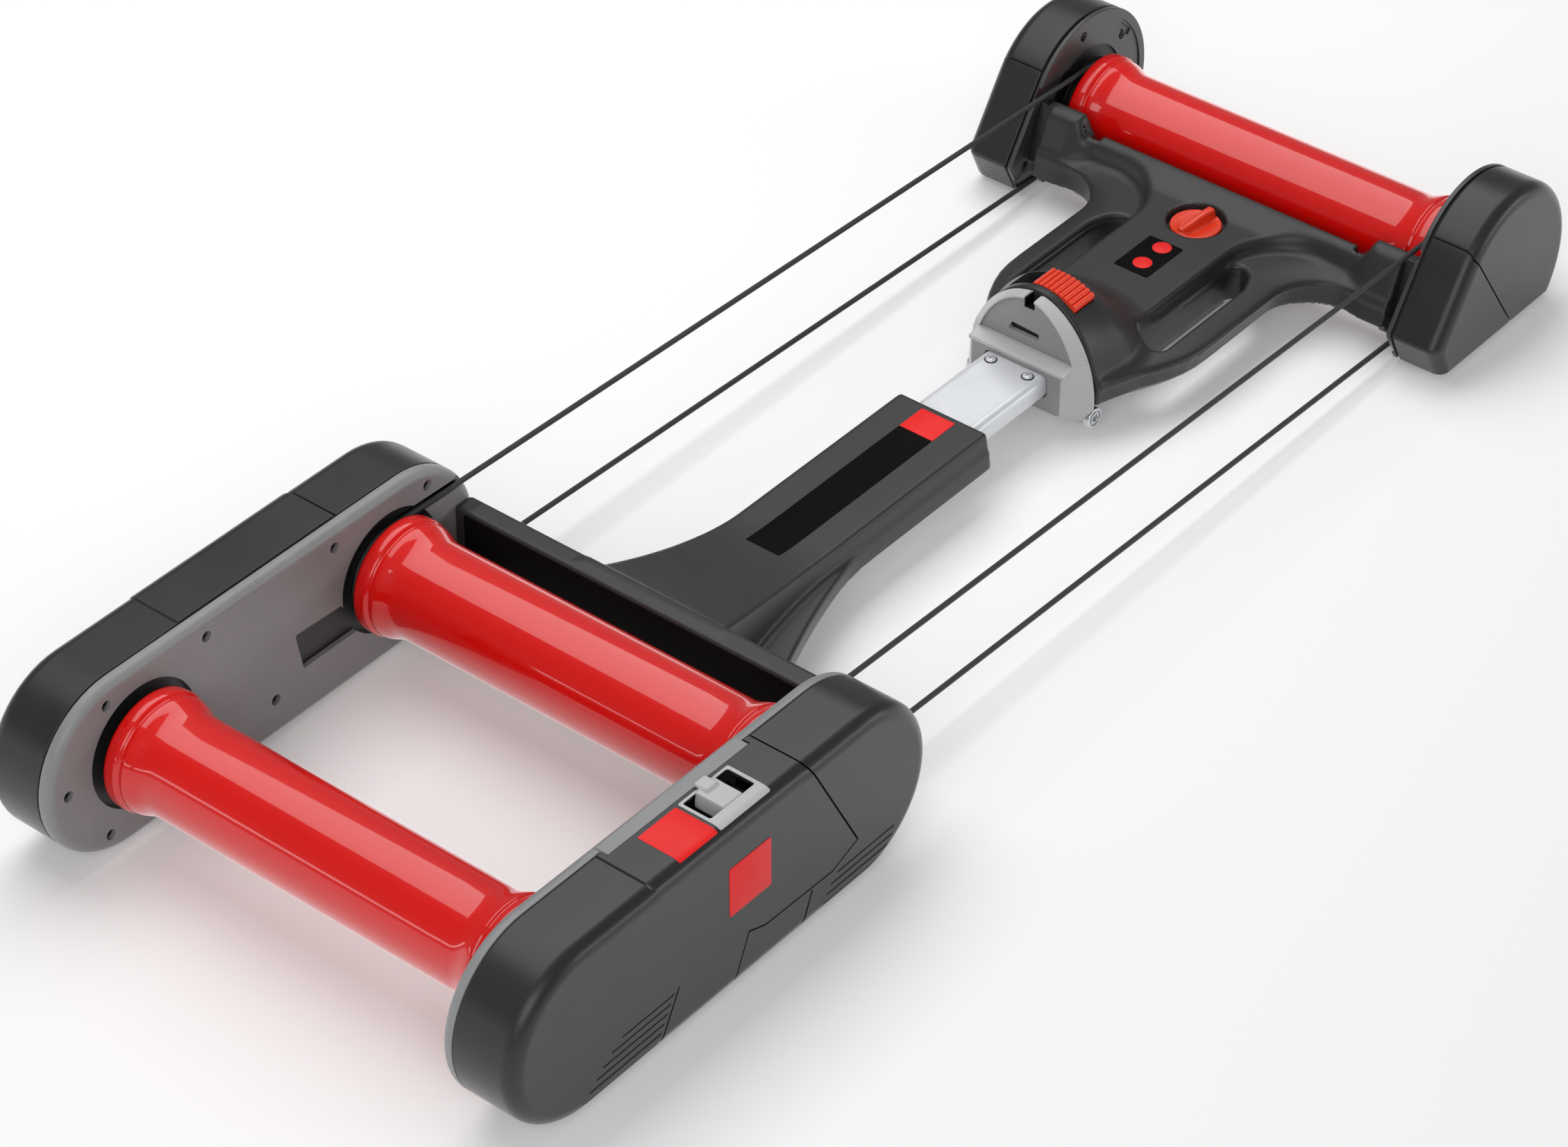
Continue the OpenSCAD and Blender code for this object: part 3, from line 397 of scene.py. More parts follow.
class Wire:
    """A value inside a node tree. Python's operators add the nodes."""

    def __init__(self, owner, socket):
        self.owner, self.socket = owner, socket

    def math(self, operation, *values):
        """A Math node on these values."""
        return self.owner.node("ShaderNodeMath", {"operation": operation},
                               dict(enumerate(values)))

    def __add__(self, other):
        return self.math("ADD", self, other)

    def __radd__(self, other):
        return self.math("ADD", other, self)

    def __sub__(self, other):
        return self.math("SUBTRACT", self, other)

    def __rsub__(self, other):
        return self.math("SUBTRACT", other, self)

    def __mul__(self, other):
        return self.math("MULTIPLY", self, other)

    def __rmul__(self, other):
        return self.math("MULTIPLY", other, self)


class Nodes:
    """A node tree that is built call by call."""

    def __init__(self, tree):
        self.tree = tree

    def node(self, kind, settings, sockets, output=0):
        """Adds a node with its settings and the values or links of its sockets."""
        made = self.tree.nodes.new(kind)
        for key, value in settings.items():
            setattr(made, key, value)
        for key, value in sockets.items():
            if isinstance(value, Wire):
                self.tree.links.new(value.socket, made.inputs[key])
            else:
                made.inputs[key].default_value = value
        return Wire(self, made.outputs[output])


class Pattern(Nodes):
    """A Geometry Nodes tree with named inputs."""

    def __init__(self, name, **inputs):
        super().__init__(bpy.data.node_groups.new(name, "GeometryNodeTree"))
        self.tree.is_modifier = True
        sockets = self.tree.interface
        for key, kind in {"Geometry": "Geometry", **inputs}.items():
            sockets.new_socket(key, in_out="INPUT", socket_type="NodeSocket" + kind)
        sockets.new_socket("Geometry", in_out="OUTPUT", socket_type="NodeSocketGeometry")
        self.source = self.tree.nodes.new("NodeGroupInput")
        self.sink = self.tree.nodes.new("NodeGroupOutput")

    def take(self, name):
        """The tree's input of that name."""
        return Wire(self, self.source.outputs[name])

    def close(self, instances):
        """Ends the tree: the instances become a mesh and get the material."""
        real = self.node("GeometryNodeRealizeInstances", {}, {"Geometry": instances})
        done = self.node("GeometryNodeSetMaterial", {},
                         {"Geometry": real, "Material": self.take("Material")})
        self.tree.links.new(done.socket, self.sink.inputs[0])
        return self


def grown(name, pattern, points=(), **values):
    """The plain mesh that a pattern makes from points in millimetres."""
    mesh = bpy.data.meshes.new(name)
    mesh.from_pydata([place(p) for p in points], [], [])
    piece = add(name, mesh)
    modifier = piece.modifiers.new("pattern", "NODES")
    modifier.node_group = pattern.tree
    for item in pattern.tree.interface.items_tree:
        if item.in_out == "INPUT" and item.name in values:
            modifier[item.identifier] = values[item.name]
    return settle(piece)


class Finish(Nodes):
    """One material, built round a Principled shader whose fixed sockets are given first."""

    def __init__(self, name, **fixed):
        self.material = bpy.data.materials.new(name)
        self.material.use_nodes = True
        super().__init__(self.material.node_tree)
        self.shader = self.tree.nodes["Principled BSDF"]
        for key, value in fixed.items():
            self.shader.inputs[key.replace("_", " ")].default_value = value

    def feed(self, socket, wire):
        """Links a value to a socket of the shader."""
        self.tree.links.new(wire.socket, self.shader.inputs[socket])

    def where(self):
        """The point on the object, in metres."""
        return self.node("ShaderNodeTexCoord", {}, {}, "Object")

    def ray(self, kind):
        """1 for rays of that kind, as a Light Path node names it, and 0 for others."""
        return self.node("ShaderNodeLightPath", {}, {}, kind)

    def noise(self, scale, detail, stretch=(1, 1, 1)):
        """Noise from 0 to 1, with scale cells to the metre."""
        point = self.node("ShaderNodeMapping", {}, {"Vector": self.where(), "Scale": stretch})
        return self.node("ShaderNodeTexNoise", {},
                         {"Vector": point, "Scale": scale, "Detail": detail})

    def spread(self, value, low, high, to_low=0.0, to_high=1.0):
        """A value's range, mapped on another and held inside it."""
        return self.node("ShaderNodeMapRange", {"clamp": True}, {
            "Value": value, "From Min": low, "From Max": high,
            "To Min": to_low, "To Max": to_high})

    def mix(self, factor, first, second):
        """One colour turning into another."""
        return self.node("ShaderNodeMix", {"data_type": "RGBA"},
                         {0: factor, 6: first, 7: second}, 2)

    def bump(self, height, distance, strength):
        """Relief of a height from 0 to 1, distance metres deep."""
        self.feed("Normal", self.node("ShaderNodeBump", {}, {
            "Height": height, "Distance": distance, "Strength": strength}))


def tone(*screen):
    """A linear colour from its red, green and blue on a screen, 0 to 255."""
    line = [((v / 255 + 0.055) / 1.055) ** 2.4 if v > 10 else v / 255 / 12.92 for v in screen]
    return (*[min(v, 1.0) for v in line], 1.0)


def shade(colour, factor, lift=0):
    """A colour made darker or paler."""
    return tuple(min(v * factor + lift, 1) for v in colour[:3]) + (1,)


def moulded(name, colour, roughness, grain=1900, depth=0.00005, marks=0.12, gloss=0.42):
    """Moulded plastic: fine grain, a slight change of tone and rubbed spots."""
    skin = Finish(name, Specular_IOR_Level=gloss)
    cloud = skin.noise(9, 3)
    rub = skin.spread(skin.noise(38, 5), 0.52, 0.72)
    light, dark = shade(colour, 1.28, 0.004), shade(colour, 0.84)
    skin.feed("Base Color", skin.mix(rub * marks, skin.mix(cloud, dark, light), light))
    skin.feed("Roughness", skin.spread(cloud + rub * 0.3, 0.2, 1.1,
                                       roughness - 0.05, roughness + 0.07))
    skin.bump(skin.noise(grain, 2), depth, 0.55)
    return skin.material


def lacquered(name, colour):
    """Gloss lacquer over metal: a clear coat, faint waves and fine rolling marks."""
    skin = Finish(name, Coat_Roughness=0.05, Coat_IOR=1.45, Specular_IOR_Level=0.15)
    cloud = skin.noise(14, 3)
    skin.feed("Base Color", skin.mix(cloud, shade(colour, 0.9), colour))
    lines = skin.spread(skin.noise(60, 4, (0.05, 9, 9)), 0.3, 0.8)
    skin.feed("Roughness", 0.36 + lines * 0.08)
    skin.feed("Coat Weight", 0.95 - lines * 0.1)
    skin.bump(skin.noise(300, 2), 0.00002, 0.2)
    return skin.material


def metal(name, colour, roughness, stretch=(1, 1, 1), depth=0.00002, metallic=1.0):
    """Metal with brush lines along the axis that stretch makes long."""
    skin = Finish(name, Metallic=metallic)
    lines = skin.noise(600, 4, stretch)
    cloud = skin.noise(25, 3)
    worn = skin.spread(lines * 0.6 + cloud * 0.4, 0.35, 0.65)
    skin.feed("Base Color", skin.mix(worn, shade(colour, 0.86), colour))
    skin.feed("Roughness", skin.spread(lines, 0.3, 0.7, roughness - 0.05, roughness + 0.08))
    skin.bump(lines, depth, 0.4)
    return skin.material


def rubber(name, colour, stretch=(1, 1, 1)):
    """Soft rubber: matt, dusty, with a fine pitted skin."""
    skin = Finish(name, Specular_IOR_Level=0.35)
    dust = skin.spread(skin.noise(60, 4), 0.45, 0.8)
    skin.feed("Base Color", skin.mix(dust * 0.5, colour, shade(colour, 1.7, 0.008)))
    skin.feed("Roughness", 0.62 + dust * 0.2)
    skin.bump(skin.noise(1500, 3, stretch), 0.00008, 0.6)
    return skin.material


# Sizes and colours that a user would change

def colour_setting(name, description, default):
    """A colour with its place in the sidebar."""
    return bpy.props.FloatVectorProperty(
        name=name, description=description, default=default, subtype="COLOR", size=4, min=0, max=1)


class RollersColours(bpy.types.PropertyGroup):
    """The colours of the rollers' finishes."""

    drum: colour_setting("Drums", "Lacquer on the three drums", tone(212, 8, 3))
    cover: colour_setting("Covers", "Outer covers of the side modules", tone(36, 36, 36))
    plate: colour_setting("Side plates", "Inner plates of the rear modules", tone(124, 125, 126))
    body: colour_setting("Frame", "Beam, cross-member and folding front deck", tone(41, 41, 42))
    hinge: colour_setting("Hinge", "Arched hinge block", tone(172, 172, 173))
    control: colour_setting("Controls", "Lock knob and hinge wheel", tone(214, 52, 20))
    badge: colour_setting("Badges", "Bare red badges", tone(220, 24, 24))


class RollersSizes(bpy.types.PropertyGroup):
    """The small sizes that only the looks need."""

    edge: bpy.props.FloatProperty(
        name="Edge", description="Bevel along the covers' seams", default=0.0008, unit="LENGTH",
        min=0)
    screw_head: bpy.props.FloatProperty(
        name="Screw head", description="Radius of the side plates' screw heads",
        default=0.0038, unit="LENGTH", min=0.001, max=0.0042)
    rib_count: bpy.props.IntProperty(
        name="Wheel ribs", description="Ribs round the whole hinge wheel", default=80, min=12,
        max=180)


def sizes():
    """The small sizes, as the sidebar has them."""
    return bpy.context.scene.rollers_sizes


# Each finish: what makes it, its colour or the setting that holds it, and what else it takes
SILVER = tone(214, 216, 219)
FINISHES = {
    "drum_lacquer": (lacquered, "drum", {}),
    "cover_plastic": (moulded, "cover", dict(roughness=0.34, gloss=0.3)),
    "plate_plastic": (moulded, "plate", dict(roughness=0.44, marks=0.3)),
    "plate_dark": (moulded, tone(54, 54, 54), dict(roughness=0.4)),
    "frame_plastic": (moulded, "body", dict(roughness=0.4, grain=1500, depth=0.00007, gloss=0.3)),
    "hinge_plastic": (moulded, "hinge", dict(roughness=0.42)),
    "hinge_panel": (moulded, tone(134, 134, 135), dict(roughness=0.5)),
    # Near-black plastic of the dark inner parts, and also of sheets of painted shade, such as the
    # back of the hinge's slot
    "inner_plastic": (moulded, tone(17, 17, 18), dict(roughness=0.5, marks=0.05)),
    "orange_plastic": (moulded, "control", dict(roughness=0.36, grain=1200, marks=0.1)),
    "lever_plastic": (moulded, tone(170, 170, 171), dict(roughness=0.42)),
    "anodised": (metal, SILVER, dict(
        roughness=0.38, stretch=(14, 0.12, 14), depth=0.000012, metallic=0.3)),
    "steel": (metal, SILVER, dict(roughness=0.3, stretch=(0.15, 8, 8), metallic=0.75)),
    "turned_steel": (metal, tone(190, 192, 195), dict(roughness=0.28, stretch=(6, 6, 0.2))),
    "dark_steel": (metal, tone(24, 24, 25), dict(roughness=0.45, depth=0.00003, metallic=0.5)),
    "rubber": (rubber, tone(26, 26, 27), {}),
    "belt_rubber": (rubber, tone(46, 47, 48), dict(stretch=(1, 0.2, 1))),
    "badge_red": (moulded, "badge", dict(
        roughness=0.5, grain=700, depth=0.00001, marks=0.06, gloss=0.25)),
    # Near-black: the print of the dark labels, and sheets of painted shade on the cross-member's
    # wall and in the hinge's notch
    "badge_black": (moulded, tone(8, 8, 8), dict(
        roughness=0.6, grain=700, depth=0.00001, marks=0.05, gloss=0.03)),
}

finishes = {}


def finish(name):
    """The finish of that name, made the first time that it is asked for."""
    if name not in finishes:
        make, colour, rest = FINISHES[name]
        if isinstance(colour, str):
            colour = tuple(getattr(bpy.context.scene.rollers_colours, colour))
        finishes[name] = make(name, colour, **rest)
    return finishes[name]


class Step:
    """What every step of the build shares."""

    def execute(self, context):
        self.build()
        return {"FINISHED"}


# Finishes of the nodes that stay in view
CARRIED = {
    "steel": ("rear_bearings", "carrier_rod", "rear_axle", "middle_axle", "brake_disc",
              "brake_magnets", "hinge_pin", "front_bearings", "front_axle", "latch_spindle",
              "lock_cam"),
    "dark_steel": ("frame_bolts",),
    "rubber": ("rear_feet", "front_feet"),
    "inner_plastic": ("tube_guides", "rear_drum_hubs", "middle_drum_hubs", "middle_pulleys",
                      "magnet_carrier", "tube_end_plug", "front_drum_hubs", "front_pulleys",
                      "left_axle_carrier", "right_axle_carrier"),
}


class ROLLERS_OT_finishes(Step, bpy.types.Operator):
    """Give every node that stays in view its finish"""

    bl_idname = "rollers.finishes"
    bl_label = "Finish the carried nodes"

    def build(self):
        for kind, names in CARRIED.items():
            for name in names:
                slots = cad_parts[name].data.materials
                slots.clear()
                slots.append(finish(kind))


# Drums

# Half of a drum's outline from the middle to the end, and half of its bore, as (along, radius)
DRUM_END = [(40, 40), (120, 40), (139.5, 40), (142.5, 40.15), (146, 40.7), (149.5, 41.7),
            (153, 43.1), (156.5, 44.5), (159, 45.3), (160.3, 45.55), (161, 45.4), (161.7, 44.9),
            (162.6, 44.75), (163.6, 44.95), (164.3, 45.9), (165, 46.6), (166.2, 47.05),
            (168.5, 47.2), (173.4, 47.2), (175.2, 46.9), (176.2, 46.2), (176.7, 45.2)]
DRUM_BORE = [(176.7, 37.6), (175.9, 36.5)]


class ROLLERS_OT_drums(Step, bpy.types.Operator):
    """Turn the three flared drums"""

    bl_idname = "rollers.drums"
    bl_label = "Drums"

    def build(self):
        outer = [(-t, r) for t, r in reversed(DRUM_END)] + DRUM_END
        inner = DRUM_BORE + [(-t, r) for t, r in reversed(DRUM_BORE)]
        for name, y, z in (("rear_drum", 0, REAR_Z), ("middle_drum", MIDDLE_Y, REAR_Z),
                           ("front_drum", FRONT_Y, FRONT_Z)):
            piece = lathe(name + "_shell", outer + inner, (y, z), steps=144)
            dress(piece, "drum_lacquer", name, name, angle=50)


# Side modules, drawn on the right and mirrored for the left

# The long outline's axis, its radius and the centres of its round ends
SIDE_Z = 76
SIDE_R = 73
SIDE_ENDS = (-20, 272.6)

# Faces of the plate and the cover, from the middle of the rollers outwards
PLATE_IN, PLATE_WEB, PLATE_OUT, COVER_OUT = 182.4, 186.4, 192.9, 245.9
COVER_EDGE = 12
COVER_WALL = 3

# The raised middle of the covers
SADDLE = (52, 208)
SADDLE_RISE = 1.3

# A belt's slope from the middle axle down to the front one
CHANNEL_TILT = math.radians(1.84)
SIDE_SCREWS = [(-31, 133), (-74, 79), (67, 133), (197.5, 133), (128, 35.6), (-40, 21),
               (296, 131.5), (300, 22)]

# The stepped seam, and the region in front of it
NOSE_REGION = [(212, 170), (212, 149), (266, 47), (237, 36), (164, 38), (147, 44), (129, 3),
               (129, -20), (470, -20), (470, 170)]

# Grooves low on the long covers as (start, end, height), and the slanting lines beside them
GROOVES = [(-26, 50, 11), (-20, 53.5, 17.5), (-13, 57, 24), (-6, 60.5, 30.5), (3, 64, 37),
           (14, 67.5, 43.5), (226, 292, 12), (230, 299, 18.5), (235, 304, 25), (242, 306, 31.5)]
GROOVE_LINES = [(52, 8, 72, 47), (203, 8, 214, 35)]


def side_outline(r, rise=0.0):
    """The long outline with round ends, raised by rise over the saddle."""
    outline = arc(SIDE_ENDS[1], SIDE_Z, r, -90, 90, 28)
    if rise:
        first, last = SADDLE
        outline += [(last + 1.2, SIDE_Z + r), (last, SIDE_Z + r + rise),
                    (first, SIDE_Z + r + rise), (first - 1.2, SIDE_Z + r)]
    return outline + arc(SIDE_ENDS[0], SIDE_Z, r, 90, 270, 28)


def belt_channel(y, z, start, end, half):
    """The plan of a straight channel along a belt, from start to end past (y, z)."""
    cos, sin = math.cos(CHANNEL_TILT), math.sin(CHANNEL_TILT)
    return [(y + u * cos + v * sin, z - u * sin + v * cos)
            for u, v in rectangle(start, -half, end, half)]


def part_cover(shell, region, gap, reach, side, body, names):
    """Parts a cover into two nodes: the second lies inside the region, the gap outside it."""
    end = add("end", shell.data.copy())
    carve(end, slab("region", region, *reach), operation="INTERSECT")
    carve(shell, slab("region", inset(region, -gap), *reach))
    for piece, name in zip((shell, end), names):
        node = SIDES[side] + name
        dress(sided(piece, side, node + "_shell"), "cover_plastic", body, node,
              bevel=sizes().edge / MM)


class ROLLERS_OT_rear_sides(Step, bpy.types.Operator):
    """Shape the side modules' covers and plates"""

    bl_idname = "rollers.rear_sides"
    bl_label = "Rear side modules"

    def build(self):
        for side in SIDES:
            self.covers(side)
            self.plate(side)

    def covers(self, side):
        """Both covers of one side module. The right one has the lever's opening."""
        shell = slab("shell", side_outline(SIDE_R, SADDLE_RISE), PLATE_OUT + 0.5, COVER_OUT,
                     low=0.8, high=COVER_EDGE, steps=9)
        carve(shell, slab("hollow", side_outline(SIDE_R - COVER_WALL), PLATE_OUT - 1,
                          COVER_OUT - COVER_WALL, high=COVER_EDGE - COVER_WALL))
        if side > 0:
            carve(shell, slab("rebate", rectangle(56, 149, 204, 153), PLATE_OUT - 1, 199.9))
        tools = []
        for a, b, z in GROOVES:
            line = corners((a, z, 0.5), (b, z, 0.5), (b + 0.8, z + 1.3, 0.5),
                           (a + 0.8, z + 1.3, 0.5), steps=2)
            tools.append(slab("groove", line, COVER_OUT - 1.5, COVER_OUT + 2))
        for y0, z0, y1, z1 in GROOVE_LINES:
            line = [(y0, z0), (y0 + 1.9, z0), (y1 + 1.9, z1), (y1, z1)]
            tools.append(slab("line", line, COVER_OUT - 1.8, COVER_OUT + 2))
        carve(shell, *tools)
        if side > 0:
            carve(shell, slab("opening", rectangle(203.5, 125, 230.5, 175), 120, 170, "z"))
        part_cover(shell, NOSE_REGION, 1.4, (PLATE_OUT - 5, COVER_OUT + 5), side, "rear_unit",
                   ("_rear_cover", "_nose_cover"))

    def plate(self, side):
        """The grey inner plate. The right one has a tab that carries the saddle."""
        plate = slab("plate", side_outline(SIDE_R), PLATE_IN, PLATE_OUT - 0.5, low=7, high=0.4,
                     steps=7)
        if side > 0:
            tab = [(56.4, 147), (203.6, 147), (202.4, 150.3), (57.6, 150.3)]
            carve(plate, slab("tab", tab, PLATE_IN + 6, 199.4), operation="UNION")
        through = (PLATE_IN - 1, PLATE_OUT + 1)
        window = corners((152, 80, 2), (200, 78, 2), (219, 46, 2), (158, 46, 2))[::-1]
        tools = [slab("hollow", side_outline(SIDE_R - 4), PLATE_WEB, PLATE_OUT + 1)]
        tools += [slab("opening", circle(y, REAR_Z, OPENING_R, 72), *through)
                  for y in (0, MIDDLE_Y)]
        tools.append(slab("window", window, *through))
        tools += [slab("channel", belt_channel(MIDDLE_Y, REAR_Z + s * PULLEY_R, 0, 110, 5),
                       PLATE_IN - 1, 187.6) for s in SIDES]
        tools += [slab("hole", circle(y, z, SCREW_HOLE_R, 24), PLATE_IN - 1, PLATE_WEB + 1)
                  for y, z in SIDE_SCREWS]
        carve(plate, *tools)
        node = SIDES[side] + "_side_plate"
        dress(sided(plate, side, node + "_shell"), "plate_plastic", "rear_unit", node,
              bevel=0.6)


# Rear frame

CROSS_LOW, CROSS_HIGH = (-182.3, 322, -40), (182.3, 341, 96.8)
CROSS_FOOT, BEAM_FOOT = 32, 22
WEB_TOP = 46
BEAM_END = 680.2
FRAME_WALL = 4
LABEL_HALF, LABEL_RISE = 16, 0.32


def beam_top(y):
    """Height of the beam's top, which climbs towards the cross-member."""
    return flare(y, 62.8, 27, 485, 144, 1.1, 1.7)


def rear_frame_field(x, y, z):
    """The cross-member and the beam with its flat webs, hollow from below."""
    a = np.abs(x)
    top = beam_top(y)
    half = flare(y, 42.4, 18, 480, 135, 1.1, 1.6)
    body = trim(a - half - 0.16 * (top - z), (z - top) * 0.94, 3)
    web = trim((a - flare(y, 44.5, 61, 540, 199, 1.05, 1.5)) * 0.92, z - WEB_TOP, 3.5)
    beam = trim(melt(body, web, 5.5), CROSS_HIGH[1] - 5 - y, 1)
    cross = brick((x, y, z), CROSS_LOW, CROSS_HIGH, 3.5)
    whole = melt(beam, cross, 10)
    outer = trim(whole, np.minimum(CROSS_FOOT - z, y - CROSS_HIGH[1]), 1.5)
    outer = trim(trim(outer, BEAM_FOOT - z, 1.5), y - BEAM_END, 2.5)
    inner = np.minimum(beam + FRAME_WALL, np.maximum(cross + FRAME_WALL, a - 172))
    shell = trim(outer, -inner, 1)
    return np.maximum(shell, -brick((a, y, z), (175.7, 315, 31), (190, 350, 45)))


def plate_stops(start, end, margin, count):
    """Stops along a thin plate, each with how far its sides draw in, to round its corners."""
    ends = [(0, 1.2), (0.35, 0.35), (1.2, 0)]
    middle = [(t, 0) for t in np.linspace(start + margin, end - margin, count)]
    return ([(start + t, d) for t, d in ends] + middle
            + [(end - t, d) for t, d in reversed(ends)])


class ROLLERS_OT_rear_frame(Step, bpy.types.Operator):
    """Sculpt the cross-member and the beam"""

    bl_idname = "rollers.rear_frame"
    bl_label = "Rear frame"

    def build(self):
        piece = sculpt("rear_frame_shell", rear_frame_field, (-184, 320, 20), (184, 682, 99), 2.0)
        dress(piece, "frame_plastic", "rear_unit", "rear_frame", angle=50)
        # A near-black sheet on the cross-member's wall that faces the middle drum: painted shade,
        # standing for the shadow on that wall
        plain("cross_member_wall", rectangle(-172, 24, 172, 94, 2), 321.3, 322.6, "y",
              "badge_black", "rear_unit", "inner_black", low=0.4, steps=2)
        self.label("beam_label_dark", 460, 645, "badge_black")
        self.label("beam_label_red", 645.3, 674, "badge_red")

    def label(self, name, start, end, kind):
        """A bare label that lies along the beam's top."""
        rings = []
        for y, d in plate_stops(start, end, 4, 12):
            low, high = float(beam_top(y)) - 0.3, float(beam_top(y)) + LABEL_RISE
            half = LABEL_HALF - d
            rings.append([(-half, y, low), (half, y, low), (half, y, high - 0.1),
                          (half - 0.2, y, high), (0.2 - half, y, high), (-half, y, high - 0.1)])
        dress(loft(name, rings), kind, "rear_unit", angle=40)


# Front frame

KNOB_Y = 1016.7
KNOB_R, KNOB_SEAT_R = 21.4, 24.4
KNOB_SEAT_Z = 56
SLOT_X, SLOT_Y = 61.5, 932
SLOT_HALF, SLOT_LONG, SLOT_CORNER = 14, 70, 11
DECK_Z = 64

# The handle rails' half width along y
RAIL_Y = [798, 815, 837, 850, 864, 877, 890, 905, 1070]
RAIL_HALF = [61, 69, 78, 85, 91, 95, 97, 97.6, 97.6]

# The arch over the hinge, which the dome behind it follows
ARCH_TOP, ARCH_BASE, ARCH_POWER = 113.5, 33, 1.9

# Hinge wheel
WHEEL_Y = (806.2, 832.2)
WHEEL_Z = 50
WHEEL_R = 63.5
WHEEL_SPAN = (59, 101)
RIM_IN, RIM_OUT = 50, 61.3
HUB_R = 10
SPOKE_LEAN, SPOKE_HALF = math.radians(78), 3.5
RIB_R = 2.35


def cove(u, v, r):
    """The field of u below 0 or v below 0, with a round inner corner of radius r."""
    return r - np.hypot(np.maximum(r - u, 0), np.maximum(r - v, 0))


def slot_field(a, y):
    """The handle slots' plan: long, rounded and drawn in towards the front."""
    shift = 13 * ease(y, 972, 1010)
    u = np.abs(a - SLOT_X + shift * 0.35) - SLOT_HALF + shift * 0.55 + SLOT_CORNER
    v = np.abs(y - SLOT_Y) - SLOT_LONG + 0.2 * shift + SLOT_CORNER
    outside = np.hypot(np.maximum(u, 0), np.maximum(v, 0))
    return outside + np.minimum(np.maximum(u, v), 0) - SLOT_CORNER


def front_frame_field(x, y, z):
    """The folding front part: dome, deck, handle rails, arms and lugs, hollow from below."""
    a = np.abs(x)
    # Handle rails
    rail = np.interp(y, RAIL_Y, RAIL_HALF)
    plan = cove(a - rail + 0.25 * np.abs(z - 44), 1029 + 0.28 * (z - 30) - y, 44)
    low = trim(plan, (z - 49 + 0.35 * plan) / 1.06, 3)
    low = trim(trim(low, z - 53, 5), 44.5 - z, 1)
    low = np.minimum(low, trim(plan + 2, z - 47, 1))
    # Deck and arms
    top = DECK_Z + 6.5 * ease(y, 1030, 1062) + 14 * ease(a, 137, 147)
    back = 1053 - 9 * ease(a, 125, 155) + 0.42 * (z - 68) - y
    deck = trim(cove(a - 46.5, back, 55) / 1.04, (z - top) * 0.9, 5)
    whole = melt(low, trim(deck, 812 - y, 1), 6)
    # Dome
    crown = ARCH_TOP - 5 * ease(y, 798, 840) - 50.5 * ease(y, 826, 908)
    wide = 61 + 8 * ease(y, 798, 840)
    up = np.maximum(z - ARCH_BASE, 0) / (crown - ARCH_BASE)
    dome = ((up ** ARCH_POWER + (a / wide) ** ARCH_POWER) ** (1 / ARCH_POWER) - 1) * 55
    whole = melt(whole, np.maximum(dome, y - 930), 8)
    # Lug gaps, handle slots and the knob's seat
    whole = trim(whole, -brick((a, y, z), (127, 1056, 64), (136, 1080, 99), 2.5), 2)
    whole = trim(whole, -slot_field(a, y), 4.5)
    from_knob = np.hypot(x, y - KNOB_Y)
    wall = 4.5 + 7.5 * (1 - ease(y, 884, 912))
    inner = np.maximum(np.maximum(whole + wall, 846 - y), y - 1059)
    inner = np.maximum(np.maximum(inner, a - 168), -np.maximum(from_knob - 31, 48 - z))
    whole = trim(whole, -np.maximum(from_knob - KNOB_SEAT_R, KNOB_SEAT_Z - z), 1.4)
    # Ends, underside and hollow
    whole = trim(trim(whole, a - 176, 2), np.maximum(y - 1064, 798.6 - y), 2.5)
    foot = 29 - 9.5 * ease(-plan, 2, 12)
    whole = trim(whole, np.minimum(foot - z, np.maximum(834 - y, a - 47)), 2)
    whole = trim(trim(whole, 14.5 - z, 2), -inner, 1)
    # Knuckle on the hinge pin
    from_pin = np.hypot(y - PIN[0], z - PIN[1])
    whole = trim(whole, -np.maximum(from_pin - 8.5, 45.6 - a), 0.5)
    return np.minimum(whole, np.maximum(from_pin - 7.9, a - 45.4))


class ROLLERS_OT_front_frame(Step, bpy.types.Operator):
    """Sculpt the folding front part, with the hinge wheel's pocket and the bare label"""

    bl_idname = "rollers.front_frame"
    bl_label = "Front frame"

    def build(self):
        piece = sculpt("front_frame_shell", front_frame_field, (-178, 789, 9), (178, 1066, 115),
                       2.0)
        reach = (WHEEL_Y[0] - 0.5, WHEEL_Y[1] + 0.5)
        pocket = [(0, WHEEL_Z), (49.6, WHEEL_Z + 80), (-57.5, WHEEL_Z + 80)]
        carve(piece, slab("pocket", pocket, *reach, "y"),
              slab("hub", circle(0, WHEEL_Z, HUB_R + 0.6, 48), *reach, "y"))
        dress(piece, "frame_plastic", "front_unit", "front_frame", angle=50)
        plain("deck_label", rectangle(-16.5, 925, 16.5, 976, 2), DECK_Z - 0.3, DECK_Z + 0.4, "z",
              "badge_black", "front_unit", "control_orange", high=0.15, steps=2)
        for k, y in enumerate((940, 967)):
            plain("deck_spot_%d" % k, circle(1.5, y, 8, 36), DECK_Z + 0.2, DECK_Z + 0.8, "z",
                  "badge_red", "front_unit", "control_orange", high=0.2, steps=2)


# Slide tube and hinge

TUBE_HALF, TUBE_LOW, TUBE_HIGH = 30, 37.25, 57.75
TUBE_START, TUBE_END = 418, 790
ARCH_FOOT = 19
HINGE_BACK = 797.8
SOCKET_FRONT = 772.9
SOCKET_HALF = 43.6
EAR_X, EAR_HALF = 51, 5
LEDGE_HALF, LEDGE_FOOT = 46.5, 61.5


def arch_half(half, top, z):
    """The arch's half width at height z."""
    up = max((z - ARCH_BASE) / (top - ARCH_BASE), 0)
    return half * (1 - up ** ARCH_POWER) ** (1 / ARCH_POWER)


def arch_line(half, top, low):
    """The arch's outline in x and z, from its right foot over the top to its left foot."""
    steps = 24
    right = []
    for k in range(steps + 1):
        z = low + (top - low) * math.sin(math.pi / 2 * k / steps)
        right.append((arch_half(half, top, z), z))
    return right + [(-w, z) for w, z in reversed(right[:-1])]


